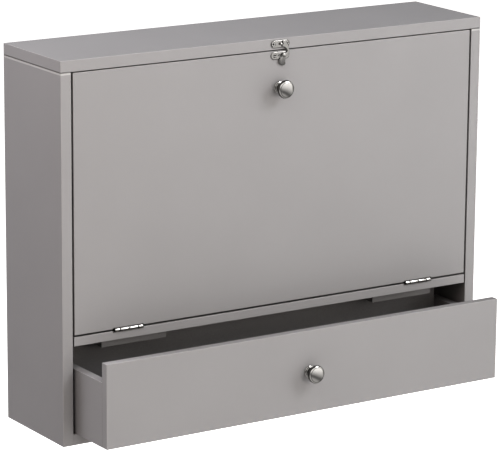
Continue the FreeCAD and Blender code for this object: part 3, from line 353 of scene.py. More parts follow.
def beech(colours):
    """Beech turned to a dowel: pale, close-grained wood with small darker flecks."""
    material, add = new_material("beech_dowel")
    spot = add("TexCoord").outputs["Object"]
    grain = add("TexNoise", {"Vector": spot, "Scale": per_metre(1.2), "Detail": 3})
    depth = add("MapRange", [grain, 0.3, 0.7, 0.85, 1.1])
    tone = add("HueSaturation", {"Value": depth, "Color": linear(colours.beech)})
    rough = add("MapRange", [grain, 0.3, 0.7, 0.55, 0.7])
    bump = add("Bump", {"Strength": 0.4, "Distance": 0.0001, "Height": grain})
    surfaced(add, {"Base Color": tone, "Roughness": rough, "Normal": bump})
    return material


def polished_nickel(metals):
    """Nickel plate buffed bright: a warm white mirror with patches of haze and a slight waviness.

    Painted shade and dark reflection, with grease, drawn by a share on each point, outline the pieces
    and fill their recesses.
    """
    material, add = new_material("polished_nickel")
    spot = add("TexCoord").outputs["Object"]
    haze = add("TexNoise", {"Vector": spot, "Scale": per_metre(5), "Detail": 3})
    waves = add("TexNoise", {"Vector": spot, "Scale": per_metre(3), "Detail": 1})
    depth = add("MapRange", [haze, 0.3, 0.7, 0.94, 1.03])
    clean = add("HueSaturation", {"Value": depth, "Color": linear(metals.nickel)})
    # Each point's share of painted shade and dark reflection, with grease.
    grime_and_shade = add("Attribute", attribute_name="grime_and_shade").outputs["Fac"]
    tone = add("Mix", {SHARE: grime_and_shade, FIRST: clean, SECOND: linear(metals.grime_and_shade)}, data_type="RGBA")
    gloss = add("MapRange", [haze, 0.3, 0.7, metals.polish - 0.03, metals.polish + 0.05])
    film = add("MapRange", [grime_and_shade, 0.0, 1.0, 0.0, 0.25])
    rough = add("Math", [gloss, film], operation="ADD")
    bump = add("Bump", {"Strength": 0.12, "Distance": 0.00004, "Height": waves})
    surfaced(add, {"Base Color": tone.outputs[MIXED], "Metallic": 1.0, "Roughness": rough, "Normal": bump})
    return material


def bright_zinc(metals):
    """Zinc plate on pressed steel: cool grey, half dull, with small spangles of differing sheen."""
    material, add = new_material("bright_zinc")
    spot = add("TexCoord").outputs["Object"]
    spangle = add("TexVoronoi", {"Vector": spot, "Scale": per_metre(2.5)})
    cell = add("SeparateXYZ", [spangle.outputs["Color"]])
    grit = add("TexNoise", {"Vector": spot, "Scale": per_metre(1.5), "Detail": 2})
    depth = add("MapRange", [cell, 0.0, 1.0, 0.88, 1.06])
    tone = add("HueSaturation", {"Value": depth, "Color": linear(metals.zinc)})
    rough = add("MapRange", [cell, 0.0, 1.0, 0.28, 0.46])
    bump = add("Bump", {"Strength": 0.2, "Distance": 0.00005, "Height": grit})
    surfaced(add, {"Base Color": tone, "Metallic": 1.0, "Roughness": rough, "Normal": bump})
    return material


def white_paper(name, colour, glow):
    """Matt white studio paper, plain or lit through from behind: pale, no sheen, a barely uneven tone."""
    material, add = new_material(name)
    spot = add("TexCoord").outputs["Object"]
    cloud = add("TexNoise", {"Vector": spot, "Scale": per_metre(400), "Detail": 2})
    depth = add("MapRange", [cloud, 0.3, 0.7, 0.99, 1.01])
    tone = add("HueSaturation", {"Value": depth, "Color": linear(colour)})
    surfaced(add, {"Base Color": tone, "Roughness": 0.9, "Specular IOR Level": 0.1,
                   "Emission Color": tone, "Emission Strength": glow})
    material.cycles.emission_sampling = "NONE"
    return material


def finish_nodes(names, material):
    """Give model nodes a finish."""
    for name in names:
        NODES[name].data.materials.clear()
        NODES[name].data.materials.append(material)


# Surfaces: a form is its points and its faces, worked out about its own axis w. A point has u, v, w and
# the share of grime and painted shade on it.

HEADINGS = {"X": (0, 1), "Y": (1, 1), "Z": (2, 1), "-X": (0, -1), "-Y": (1, -1), "-Z": (2, -1)}


def span(name):
    """Lowest and highest corner of a node, in millimetres."""
    return np.array(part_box(name)) / MM


def foot_of(name):
    """Middle of a node's rear face, in millimetres."""
    low, high = span(name)
    return (low[0] + high[0]) / 2, high[1], (low[2] + high[2]) / 2


def joint_at(name):
    """A joint's place, in millimetres."""
    return np.array(JOINTS[name]["pos_m"]) / MM


def stood(form, at, heading):
    """A form stood at a place with its axis w along a heading; u and v take the next axes in turn."""
    points, faces = form
    axis, sign = HEADINGS[heading]
    out = points.copy()
    out[:, (axis + 1) % 3] = points[:, 0]
    out[:, (axis + 2) % 3] = points[:, 1] * sign
    out[:, axis] = points[:, 2] * sign
    return out + (*at, 0), faces


def front_on(outline):
    """An outline drawn as X and Z seen from the front, as the u and v of a form that heads to -Y."""
    return np.stack([outline[:, 1], -outline[:, 0]], -1)


def joined(forms):
    """Several forms as one."""
    counts = np.cumsum([0] + [len(points) for points, _ in forms])
    faces = [[corner + first for corner in face] for (_, own), first in zip(forms, counts) for face in own]
    return np.concatenate([points for points, _ in forms]), faces


def ring_quads(rings, steps):
    """Quads between rings of points in turn, as an array of corners; they face out where w rises."""
    row = np.arange(rings - 1)[:, None] * steps
    here = np.arange(steps)[None, :]
    there = (here + 1) % steps
    return np.stack([row + here, row + there, row + steps + there, row + steps + here], -1).reshape(-1, 4)


def turned(profile, grime_and_shade, steps):
    """Rings of a turned form: point (i, j) is r_i out at the angle 2 pi j / steps, and h_i up the axis."""
    angle = np.linspace(0, 2 * math.pi, steps, endpoint=False)
    radius, height = (np.asarray(profile)[:, k, None] for k in (0, 1))
    share = np.broadcast_to(np.reshape(grime_and_shade, (-1, 1)), (len(profile), steps))
    return np.stack([radius * np.cos(angle), radius * np.sin(angle), height + 0 * angle, share], -1)


def solid_of(rings):
    """A closed form from rings of points; a face closes each end."""
    count, steps = rings.shape[:2]
    ends = [list(range(steps))[::-1], list(range((count - 1) * steps, count * steps))]
    return rings.reshape(-1, 4), ring_quads(count, steps).tolist() + ends


def tube_of(rings):
    """A closed form from rings of points whose last ring meets the first again, as in a bored barrel."""
    count, steps = rings.shape[:2]
    quads = ring_quads(count + 1, steps) % (count * steps)
    return rings.reshape(-1, 4), quads.tolist()


def arc(centre, radius, start, end, steps):
    """Points on a circle from one angle to another, in degrees."""
    angle = np.radians(np.linspace(start, end, steps))
    return np.stack([centre[0] + radius * np.cos(angle), centre[1] + radius * np.sin(angle)], -1)


def cap(half, crown, rise, steps):
    """Profile of a shallow dome, part of a ball: from half its width up to its crown."""
    ball = (half ** 2 + rise ** 2) / (2 * rise)
    edge = math.degrees(math.asin(half / ball))
    return arc((0, crown - ball), ball, 90 - edge, 90 - edge / (steps * 4), steps)


def round_ended(start, end, width):
    """Closed outline of a bar with round ends between two centres on the first axis."""
    return np.concatenate([arc((end, 0), width / 2, -90, 90, 25), arc((start, 0), width / 2, 90, 270, 25)])


def rounded_plate(outline, holes, thickness, edge):
    """A flat plate along w, rounded over on both sides along its outline, with round holes.

    The outline is carried up a section: at the angle t it is moved in by e (1 - sin t) and stands
    e (1 - cos t) from the nearer face, for t from 0 to 90 degrees and back. Each hole is (u, v, radius).
    A share of painted shade, with grease, is full on the sides and clears towards the top of the rounding.
    """
    ahead = np.roll(outline, -1, 0) - outline
    ahead /= np.linalg.norm(ahead, axis=1, keepdims=True)
    aside = np.stack([-ahead[:, 1], ahead[:, 0]], -1)
    inward = aside + np.roll(aside, 1, 0)
    inward /= np.maximum((inward ** 2).sum(1, keepdims=True) / 2, 0.5)
    turn = np.radians(np.linspace(0, 90, 6))
    under = np.stack([edge * (1 - np.sin(turn)), edge * (1 - np.cos(turn))], -1)
    over = (under * (1, -1) + (0, thickness))[::-1]
    flat = edge * 1.2
    section = np.concatenate([[(flat, 0)], under, over, [(flat, thickness)]])
    side_shade_and_grime = np.concatenate([np.ones(len(under) + 1), 1 - over[:, 0] / edge, [0]])
    raised = np.column_stack([section[:, 1], side_shade_and_grime])
    steps = len(outline)
    rings = np.concatenate([outline + inward * section[:, None, :1],
                            np.repeat(raised[:, None, :], steps, 1)], -1)
    points, faces = [rings.reshape(-1, 4)], ring_quads(len(section), steps).tolist()
    loops = [rings[-1, :, :2]]
    first = rings.shape[0] * steps
    low, high = [np.arange(steps)], [np.arange(steps) + first - steps]
    hole_steps, rim = 24, 0.3
    for u, v, radius in holes:
        # Down the wall from a clean rim, painted shade from the lip at the top to the foot of the wall.
        wall = turned([(radius + rim, thickness), (radius, thickness), (radius, 0)], (0, 1, 1), hole_steps)
        points.append((wall + (u, v, 0, 0)).reshape(-1, 4))
        faces += (ring_quads(3, hole_steps) + first).tolist()
        loops.append(wall[0, :, :2] + (u, v))
        high.append(np.arange(hole_steps) + first)
        low.append(np.arange(hole_steps) + first + 2 * hole_steps)
        first += 3 * hole_steps
    flat_points = np.concatenate(loops)
    corners = np.array(tessellate_polygon([[(u, v, 0) for u, v in loop] for loop in loops]))
    a, b, c = (flat_points[corners[:, k]] for k in range(3))
    left = (b[:, 0] - a[:, 0]) * (c[:, 1] - a[:, 1]) - (b[:, 1] - a[:, 1]) * (c[:, 0] - a[:, 0]) > 0
    corners = np.where(left[:, None], corners, corners[:, ::-1])
    faces += np.concatenate(high)[corners].tolist() + np.concatenate(low)[corners[:, ::-1]].tolist()
    return np.concatenate(points), faces


def piece(node, ending, form, material, body):
    """A mesh object that rides on a body and stands for a node; it has the node's name with an ending."""
    points, faces = form
    name = f"{node}_{ending}"
    mesh = bpy.data.meshes.new(name)
    mesh.from_pydata((points[:, :3] * MM).tolist(), [], faces)
    mesh.polygons.foreach_set("use_smooth", np.ones(len(mesh.polygons), bool))
    mesh.attributes.new("grime_and_shade", "FLOAT", "POINT").data.foreach_set("value", points[:, 3])
    mesh.materials.append(material)
    mesh.validate()
    made = bpy.data.objects.new(name, mesh)
    bpy.context.scene.collection.objects.link(made)
    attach(made, body)
    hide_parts(node)


def islands(name):
    """Boxes of the separate solids of a node, as pairs of corners in millimetres."""
    mesh = NODES[name].data
    points = np.empty(len(mesh.vertices) * 3)
    mesh.vertices.foreach_get("co", points)
    points = points.reshape(-1, 3)
    edges = np.empty(len(mesh.edges) * 2, int)
    mesh.edges.foreach_get("vertices", edges)
    _, same = np.unique(points.round(6), axis=0, return_inverse=True)
    links = same.ravel()[edges.reshape(-1, 2)]
    label = np.arange(same.max() + 1)
    while True:
        lower = label.copy()
        np.minimum.at(lower, links[:, 0], label[links[:, 1]])
        np.minimum.at(lower, links[:, 1], label[links[:, 0]])
        lower = lower[lower]
        if np.array_equal(lower, label):
            break
        label = lower
    owner = label[same.ravel()]
    return [(points[owner == k].min(0) / MM, points[owner == k].max(0) / MM) for k in np.unique(owner)]


def inward_heading(low, high):
    """The way across the cabinet from the side that a box is on."""
    return "X" if low[0] + high[0] < 0 else "-X"


# Forms of the metalware

def knob_profile():
    """Radius and distance from the board, and the share of painted shade, from the knob's foot to the crown
    of its face.

    Foot ring, cove, long flare, the rolled edge of the head and a dome that is part of a ball.
    """
    face, projection, rise, drawn_out = 20.6, 19.3, 1.9, 1.07
    roll, roll_radius = (9.4, 14.6), 3.0
    dome = cap(face / 2, projection, rise, 28)
    foot, ring = [(8.0, 0.0), (8.35, 0.2)], arc((7.8, 0.9), 0.7, -30, 80, 8)
    cove, flare = arc((8.05, 3.9), 2.3, 250, 182, 9), arc((14.75, 4.33), 9.0, 178, 118, 20)
    edge, lip = arc(roll, roll_radius, -50, 34, 16), arc(roll, roll_radius, 39, 62, 8)
    # Each stretch of the profile, with the painted shade and dark reflection at its start and at its end.
    stretches = ((foot, 0.8, 0.8), (ring, 0.3, 0.0), (cove, 0.5, 1.0), (flare, 1.0, 0.8), (edge, 0.95, 0.9),
                 (lip, 0.5, 0.0), (dome[:3], 0.6, 0.3), (dome[3:], 0.0, 0.0))
    profile = np.concatenate([line for line, _, _ in stretches])
    grime_and_shade = np.concatenate([np.linspace(first, last, len(line)) for line, first, last in stretches])
    return profile * (1, drawn_out), grime_and_shade


def headed_pin(shank, reach, head, height):
    """A pin that runs a reach up to the underside of its domed head."""
    skirt, lip = height * 0.35, height * 0.12
    foot = [(shank, 0), (shank, reach), (head * 0.94, reach), (head, reach + lip), (head, reach + skirt)]
    profile = np.concatenate([foot, cap(head, reach + height, height - skirt, 9)[1:]])
    # Painted shade on the shank, under the head and on its skirt, fading in towards the dome's rim.
    grime_and_shade = np.clip((np.arange(len(profile)) < len(foot)) + (profile[:, 0] / head - 0.7) * 3, 0, 1)
    return solid_of(turned(profile, grime_and_shade, 40))


def cross_head_screw(radius, shank, length, crown, steps):
    """A countersunk screw with the rim of its head at height 0 and its tip below.

    The face is a polar grid that rises by the crown times 1 - (r / R)^2 and sinks by 0.9 mm where |u| or
    |v| is within the cross's arm; below it the radius falls along the cone, then swings with height and
    angle to a thread.
    """
    arm, sink, tip, pitch, swing, rings, turns = 0.7, 0.9, 2.5, 1.35, 0.14, 16, 40
    reach, core = radius * 0.75, shank * 0.86
    face = turned(np.column_stack([np.linspace(0.97, 0.02, rings) * radius, np.zeros(rings)]),
                  np.zeros(rings), steps)
    u, v = np.abs(face[..., 0]), np.abs(face[..., 1])
    out = np.hypot(u, v)
    within = np.clip((arm - np.minimum(u, v)) / 0.2, 0, 1) * np.clip((reach - out) / 0.25, 0, 1)
    face[..., 2] += crown * (1 - (out / radius) ** 2) - sink * within
    # Painted shade in the cross recess and round the rim of the head.
    face[..., 3] = np.maximum(within, out > radius * 0.92)
    cone = turned([(shank, shank - radius - 0.3), (radius * 0.97, -0.3), (radius, -0.15)],
                  np.ones(3), steps)
    depth = np.linspace(-length, shank - radius - 0.5, turns)
    thinned = np.interp(depth, [-length, -length + tip, 0], [0.3, core, core])
    thread = turned(np.column_stack([thinned, depth]), np.ones(turns), steps)
    angle = np.linspace(0, 1, steps, endpoint=False)[None, :]
    thread[..., :2] *= (1 + swing * np.cos(2 * math.pi * (depth[:, None] / pitch - angle)))[..., None]
    return solid_of(np.concatenate([thread, cone, face]))


def bent_line(corners, steps):
    """Points along a closed outline whose corners are joined by straight lines or by arcs.

    A corner is (x, z) before a straight line, or (x, z, radius, turn) before an arc of that radius that
    turns left (1) or right (-1): its centre lies sqrt(r^2 - (c/2)^2) aside from the chord c's middle.
    """
    stretches = []
    for number, corner in enumerate(corners):
        start, end = np.array(corner[:2]), np.array(corners[(number + 1) % len(corners)][:2])
        if len(corner) == 2:
            stretches.append(start[None, :])
            continue
        radius, turn = corner[2:]
        chord = end - start
        half = np.hypot(*chord) / 2
        aside = np.array([-chord[1], chord[0]]) / (2 * half) * turn
        centre = (start + end) / 2 + aside * math.sqrt(radius ** 2 - half ** 2)
        first = math.atan2(*(start - centre)[::-1])
        angle = first + np.linspace(0, 2 * math.asin(half / radius) * turn, steps, endpoint=False)
        stretches.append(centre + radius * np.stack([np.cos(angle), np.sin(angle)], -1))
    return np.concatenate(stretches)


def hook_outline(stud_x, stud_z):
    """Closed outline of the hook on its stud, seen from the front about its pivot.

    In order: thumb tab, bowed arm, jaw with the round notch for the stud, the arm's inside and the eye.
    """
    eye, bow, bow_height, arm = 3.3, 7.8, 4.5, 3.4
    tail, tab_left, tab_right, tab_height, corner = 13.6, 6.6, 4.2, 8.0, 3.0
    jaw, jaw_length, notch = 8.6, 4.6, 1.25
    lip = stud_x + notch / 6
    mouth = math.sqrt(notch ** 2 - (notch / 6) ** 2)
    return bent_line([
        (tab_right - corner, -tail, corner, 1),
        (tab_right, corner - tail, tail, -1),
        (eye, -eye / 2, bow, 1),
        (bow, bow_height, stud_z * 2, 1),
        (lip + jaw_length, stud_z + jaw / 2),
        (lip, stud_z + jaw / 2),
        (lip, stud_z + mouth, notch, -1),
        (lip, stud_z - mouth),
        (lip, stud_z - jaw / 2, jaw, -1),
        (bow - arm, bow_height + eye / 2, arm, -1),
        (0, eye, eye, 1),
        (-eye, 0, tab_height, -1),
        (-tab_left, tab_height - tail, tab_height, 1),
        (corner / 2 - tab_left, corner / 2 - tail, tail, 1),
    ], 12)


def hinge_runs(length):
    """Start and end of a hinge's four knuckles from its middle: short, long, long, short."""
    short, gap = 6.4, 1.2
    long = (length - 2 * short - 3 * gap) / 2
    starts = np.cumsum([0, short + gap, long + gap, long + gap]) - length / 2
    return np.column_stack([starts, starts + [short, long, long, short]])


def hinge_leaf(runs, length, reach, low, screws, edge):
    """A leaf about its hinge's middle and axis: a plate with tabs to its two knuckles, and the knuckles.

    The plate's outline steps forward to the axis at each knuckle. A knuckle is a bored barrel whose ends
    are rounded over. The plate's low face is at the height low, and screws holds its holes.
    """
    barrel, bore, room, soft = 2.5, 1.35, 2.8, 0.35
    steps = [(-length / 2, room)]
    for start, end in runs:
        steps += [(start, room), (start, 0.0), (end, 0.0), (end, room)]
    steps += [(length / 2, room), (length / 2, reach), (-length / 2, reach)]
    outline = np.array([spot for number, spot in enumerate(steps) if spot != steps[number - 1]])
    points, faces = rounded_plate(outline, screws, LEAF_THICKNESS, edge)
    forms = [(points + (0, 0, low, 0), faces)]
    for start, end in runs:
        section = np.concatenate([
            arc((barrel - soft, start + soft), soft, -90, 0, 6),
            arc((barrel - soft, end - soft), soft, 0, 90, 6),
            [(bore, end), (bore, start)]])
        # Painted shade on the knuckles' ends and in their bores, where the knuckles meet.
        grime_and_shade = np.array([1.0] * 3 + [0.0] * 6 + [1.0] * 5)
        forms.append(stood(tube_of(turned(section, grime_and_shade, 48)), (0, 0, 0), "X"))
    return joined(forms)


# Operators

class WALL_DESK_OT_paint_boards(bpy.types.Operator):
    """Paint the boards of the cabinet, the door and the drawer"""

    bl_idname = "wall_desk.paint_boards"
    bl_label = "Paint boards"

    def execute(self, context):
        colours = context.scene.wall_desk_paint
        for axis, names in BOARDS.items():
            finish_nodes(names, satin_paint(colours, axis))
        return {"FINISHED"}


class WALL_DESK_OT_line_boards(bpy.types.Operator):
    """Finish the hardboard back and drawer bottom, and the dowels"""

    bl_idname = "wall_desk.line_boards"
    bl_label = "Hardboard and dowels"

    def execute(self, context):
        colours = context.scene.wall_desk_paint
        finish_nodes(["back_panel"], hardboard(colours, "Y", 1))
        finish_nodes(["drawer_bottom"], hardboard(colours, "Z", -1))
        finish_nodes(["carcass_dowels", "drawer_dowels"], beech(colours))
        return {"FINISHED"}


class WALL_DESK_OT_turn_knobs(bpy.types.Operator):
    """Turn the two knobs and finish their bolts"""

    bl_idname = "wall_desk.turn_knobs"
    bl_label = "Knobs"

    def execute(self, context):
        metals = context.scene.wall_desk_metal
        nickel = polished_nickel(metals)
        form = solid_of(turned(*knob_profile(), metals.knob_steps))
        for body in ("door", "drawer"):
            node = f"{body}_knob"
            piece(node, "turned", stood(form, foot_of(node), "-Y"), nickel, body)
        finish_nodes(["door_knob_bolt", "drawer_knob_bolt"], bright_zinc(metals))
        return {"FINISHED"}


class WALL_DESK_OT_make_latch(bpy.types.Operator):
    """Make the latch's two plates, its stud and rivet, and its hook"""

    bl_idname = "wall_desk.make_latch"
    bl_label = "Latch"

    def execute(self, context):
        metals = context.scene.wall_desk_metal
        nickel = polished_nickel(metals)
        for kind, body, pin, shank in (("strike", "cabinet", "latch_strike_stud", STUD_SHANK),
                                       ("pivot", "door", "latch_pivot_rivet", PIVOT_SHANK)):
            plate = f"latch_{kind}_plate"
            low, high = span(plate)
            middle = (low + high) / 2
            length, thickness, height = high - low
            half = (length - height) / 2
            pin_low, pin_high = span(pin)
            holes = [((a + b) / 2 - middle, SCREW_HOLE) for a, b in islands(f"{kind}_plate_screws")]
            holes.append(((pin_low + pin_high) / 2 - middle, shank + PIN_PLAY))
            form = rounded_plate(front_on(round_ended(-half, half, height)),
                                 [(at[2], -at[0], radius) for at, radius in holes],
                                 thickness, metals.latch_edge / MM)
            piece(plate, "eased", stood(form, foot_of(plate), "-Y"), nickel, body)
            head = (pin_high[0] - pin_low[0]) / 2
            reach = pin_high[1] - pin_low[1] - LATCH_HEAD_HEIGHT
            form = headed_pin(shank, reach, head, LATCH_HEAD_HEIGHT)
            piece(pin, "domed", stood(form, foot_of(pin), "-Y"), nickel, body)
        self.make_hook(metals, nickel)
        return {"FINISHED"}

    def make_hook(self, metals, nickel):
        """The hook, drawn on its stud and then swung off it to where it rests.

        Its tab thins downwards, to 0.35 of the thickness, and darkens and dulls downwards as a painted dark
        reflection.
        """
        tab_end, tab_root, thinned, tab_shade = -13.6, -4.0, 0.65, 0.6
        pivot = joint_at("latch_pivot")
        stud_low, stud_high = span("latch_strike_stud")
        stud = (stud_low + stud_high) / 2 - pivot
        swing = math.radians(-JOINTS["latch_pivot"]["range_deg"][0])
        x, z = hook_outline(stud[0], stud[2]).T
        outline = np.stack([x * math.cos(swing) + z * math.sin(swing),
                            z * math.cos(swing) - x * math.sin(swing)], -1)
        low, high = span("latch_hook")
        form = rounded_plate(front_on(outline), [(0, 0, PIVOT_SHANK + PIN_PLAY)], high[1] - low[1],
                             metals.hook_edge / MM)
        points, _ = form
        down = np.interp(points[:, 0], (tab_end, tab_root), (1.0, 0.0))
        points[:, 2] *= 1 - thinned * down
        points[:, 3] = np.maximum(points[:, 3], tab_shade * down)
        form = stood(form, (pivot[0], high[1], pivot[2]), "-Y")
        piece("latch_hook", "rounded", form, nickel, "latch_hook")


class WALL_DESK_OT_make_screws(bpy.types.Operator):
    """Make the countersunk cross-head screws of the hinges, the latch, the back and the stays"""

    bl_idname = "wall_desk.make_screws"
    bl_label = "Screws"

    def execute(self, context):
        metals = context.scene.wall_desk_metal
        finishes = {"nickel": polished_nickel(metals), "zinc": bright_zinc(metals)}
        for name, body, facing, slot, crown in SCREWS:
            shape = cross_head_screw(SCREW_HEAD, SCREW_SHANK, SCREW_LENGTH, crown, 40)
            forms = []
            for low, high in islands(name):
                heading = inward_heading(low, high) if facing == "IN" else facing
                axis, sign = HEADINGS[heading]
                head = (low + high) / 2
                head[axis] = high[axis] if sign > 0 else low[axis]
                forms.append(stood(shape, head, heading))
            piece(name, "cross_head", joined(forms), finishes[slot], body)
        return {"FINISHED"}


class WALL_DESK_OT_make_hinges(bpy.types.Operator):
    """Make the hinge leaves with their rounded knuckles, and the pins"""

    bl_idname = "wall_desk.make_hinges"
    bl_label = "Hinges"

    def execute(self, context):
        metals = context.scene.wall_desk_metal
        nickel = polished_nickel(metals)
        axis = joint_at("door_hinge")
        edge = metals.plate_edge / MM
        for side in SIDES:
            low, high = span(f"{side}_hinge_pin")
            middle, length = (low[0] + high[0]) / 2, high[0] - low[0]
            runs = hinge_runs(length)
            for kind, own, body in (("shelf", runs[[0, 2]], "cabinet"), ("door", runs[[1, 3]], "door")):
                node = f"{side}_hinge_{kind}_leaf"
                back = span(node)[1][1] - axis[1]
                spots = [(a + b) / 2 - (middle, *axis[1:]) for a, b in islands(f"{kind}_hinge_screws")]
                screws = [(at[0], at[1], SCREW_HOLE) for at in spots if abs(at[0]) < length / 2]
                low_face = LEAF_GAP / 2 if kind == "door" else -LEAF_GAP / 2 - LEAF_THICKNESS
                form = hinge_leaf(own, length, back, low_face, screws, edge)
                piece(node, "rounded", stood(form, (middle, *axis[1:]), "Z"), nickel, body)
            proud, rise = 0.25, 0.35
            dome = cap(HINGE_PIN, length / 2 + proud, rise, 6)
            profile = np.concatenate([dome[::-1] * (1, -1), dome])
            # The whole pin is drawn dark, as painted shade in the gaps between the knuckles.
            form = stood(solid_of(turned(profile, np.ones(len(profile)), 32)), (middle, *axis[1:]), "X")
            piece(f"{side}_hinge_pin", "domed", form, nickel, "cabinet")
        return {"FINISHED"}


class WALL_DESK_OT_make_stays(bpy.types.Operator):
    """Make the folding stays: plates, links, brackets and rivets"""

    bl_idname = "wall_desk.make_stays"
    bl_label = "Folding stays"

    def execute(self, context):
        metals = context.scene.wall_desk_metal
        zinc = bright_zinc(metals)
        edge = metals.plate_edge / MM
        for side in SIDES:
            self.make_side(side, zinc, edge)
        for name, body, facing in (("stay_wall_rivets", "cabinet", 1), ("stay_door_rivets", "door", -1)):
            forms = [self.rivet(low, high, facing) for low, high in islands(name)]
            piece(name, "domed", joined(forms), zinc, body)
        return {"FINISHED"}

    def rivet(self, low, high, facing):
        """A domed rivet in a box, its head facing in (1) or out (-1)."""
        heading = inward_heading(low, high)
        if facing < 0:
            heading = "X" if heading == "-X" else "-X"
        root = (low + high) / 2
        root[0] = low[0] if heading == "X" else high[0]
        head = (high[2] - low[2]) / 2
        reach = high[0] - low[0] - RIVET_HEAD_HEIGHT
        return stood(headed_pin(RIVET_SHANK, reach, head, RIVET_HEAD_HEIGHT), root, heading)

    def make_side(self, side, zinc, edge):
        """The plate, links, bracket and knuckle of one side."""
        rivet_low, rivet_high = span(f"{side}_stay_knuckle_rivet")
        knuckle = (rivet_low + rivet_high) / 2
        for kind in ("wall", "door"):
            link = f"{side}_stay_{kind}_link"
            pivot = joint_at(f"{side}_stay_{kind}_pivot")
            along = (knuckle - pivot)[1:]
            length = np.hypot(*along)
            u, v = round_ended(0, length, LINK_WIDTH).T
            ahead = along / length
            outline = np.stack([u * ahead[0] - v * ahead[1], u * ahead[1] + v * ahead[0]], -1)
            low, high = span(link)
            holes = [(0, 0, RIVET_HOLE), (*along, RIVET_HOLE)]
            form = rounded_plate(outline, holes, high[0] - low[0], edge)
            piece(link, "eased", stood(form, (low[0], *pivot[1:]), "X"), zinc, link)
        for kind, body, facing in (("knuckle_rivet", "wall_link", -1), ("knuckle_cap", "door_link", 1)):
            form = self.rivet(*span(f"{side}_stay_{kind}"), facing)
            piece(f"{side}_stay_{kind}", "domed", form, zinc, f"{side}_stay_{body}")
        node = f"{side}_stay_wall_plate"
        low, high = span(node)
        anchor = joint_at(f"{side}_stay_wall_pivot")
        wide = high[1] - low[1]
        half = (high[2] - low[2] - wide) / 2
        u, v = round_ended(-half, half, wide).T
        holes = [(0, half, SCREW_HOLE), (0, -half, SCREW_HOLE), (0, 0, RIVET_HOLE)]
        form = rounded_plate(np.stack([-v, u], -1), holes, high[0] - low[0], edge)
        piece(node, "eased", stood(form, (low[0], *anchor[1:]), "X"), zinc, "cabinet")
        self.make_bracket(side, zinc, edge)

    def make_bracket(self, side, zinc, edge):
        """The angle bracket on the door: a flange with two screw holes and an ear round the pivot."""
        node, ear_radius = f"{side}_stay_door_bracket", LINK_WIDTH / 2
        low, high = span(node)
        pivot = joint_at(f"{side}_stay_door_pivot")
        ear_low = high[0] - STAY_SHEET if side == "right" else low[0]
        reach = pivot[1] - low[1]
        ear = np.concatenate([[(-reach, -ear_radius)], arc((0, 0), ear_radius, -90, 90, 25),
                              [(-reach, ear_radius)]])
        ear_form = rounded_plate(ear, [(0, 0, RIVET_HOLE)], STAY_SHEET, edge)
        middle = (low + high) / 2
        half, tall = (high[0] - low[0]) / 2, (high[2] - low[2]) / 2
        flange = np.array([(-half, -tall), (half, -tall), (half, tall), (-half, tall)])
        spots = [(a + b) / 2 - middle for a, b in islands("stay_door_screws")]
        holes = [(at[2], -at[0], SCREW_HOLE) for at in spots if abs(at[0]) < half]
        flange_form = rounded_plate(front_on(flange), holes, STAY_SHEET, edge)
        forms = [stood(ear_form, (ear_low, *pivot[1:]), "X"),
                 stood(flange_form, (middle[0], low[1] + STAY_SHEET, middle[2]), "-Y")]
        piece(node, "eased", joined(forms), zinc, "door")


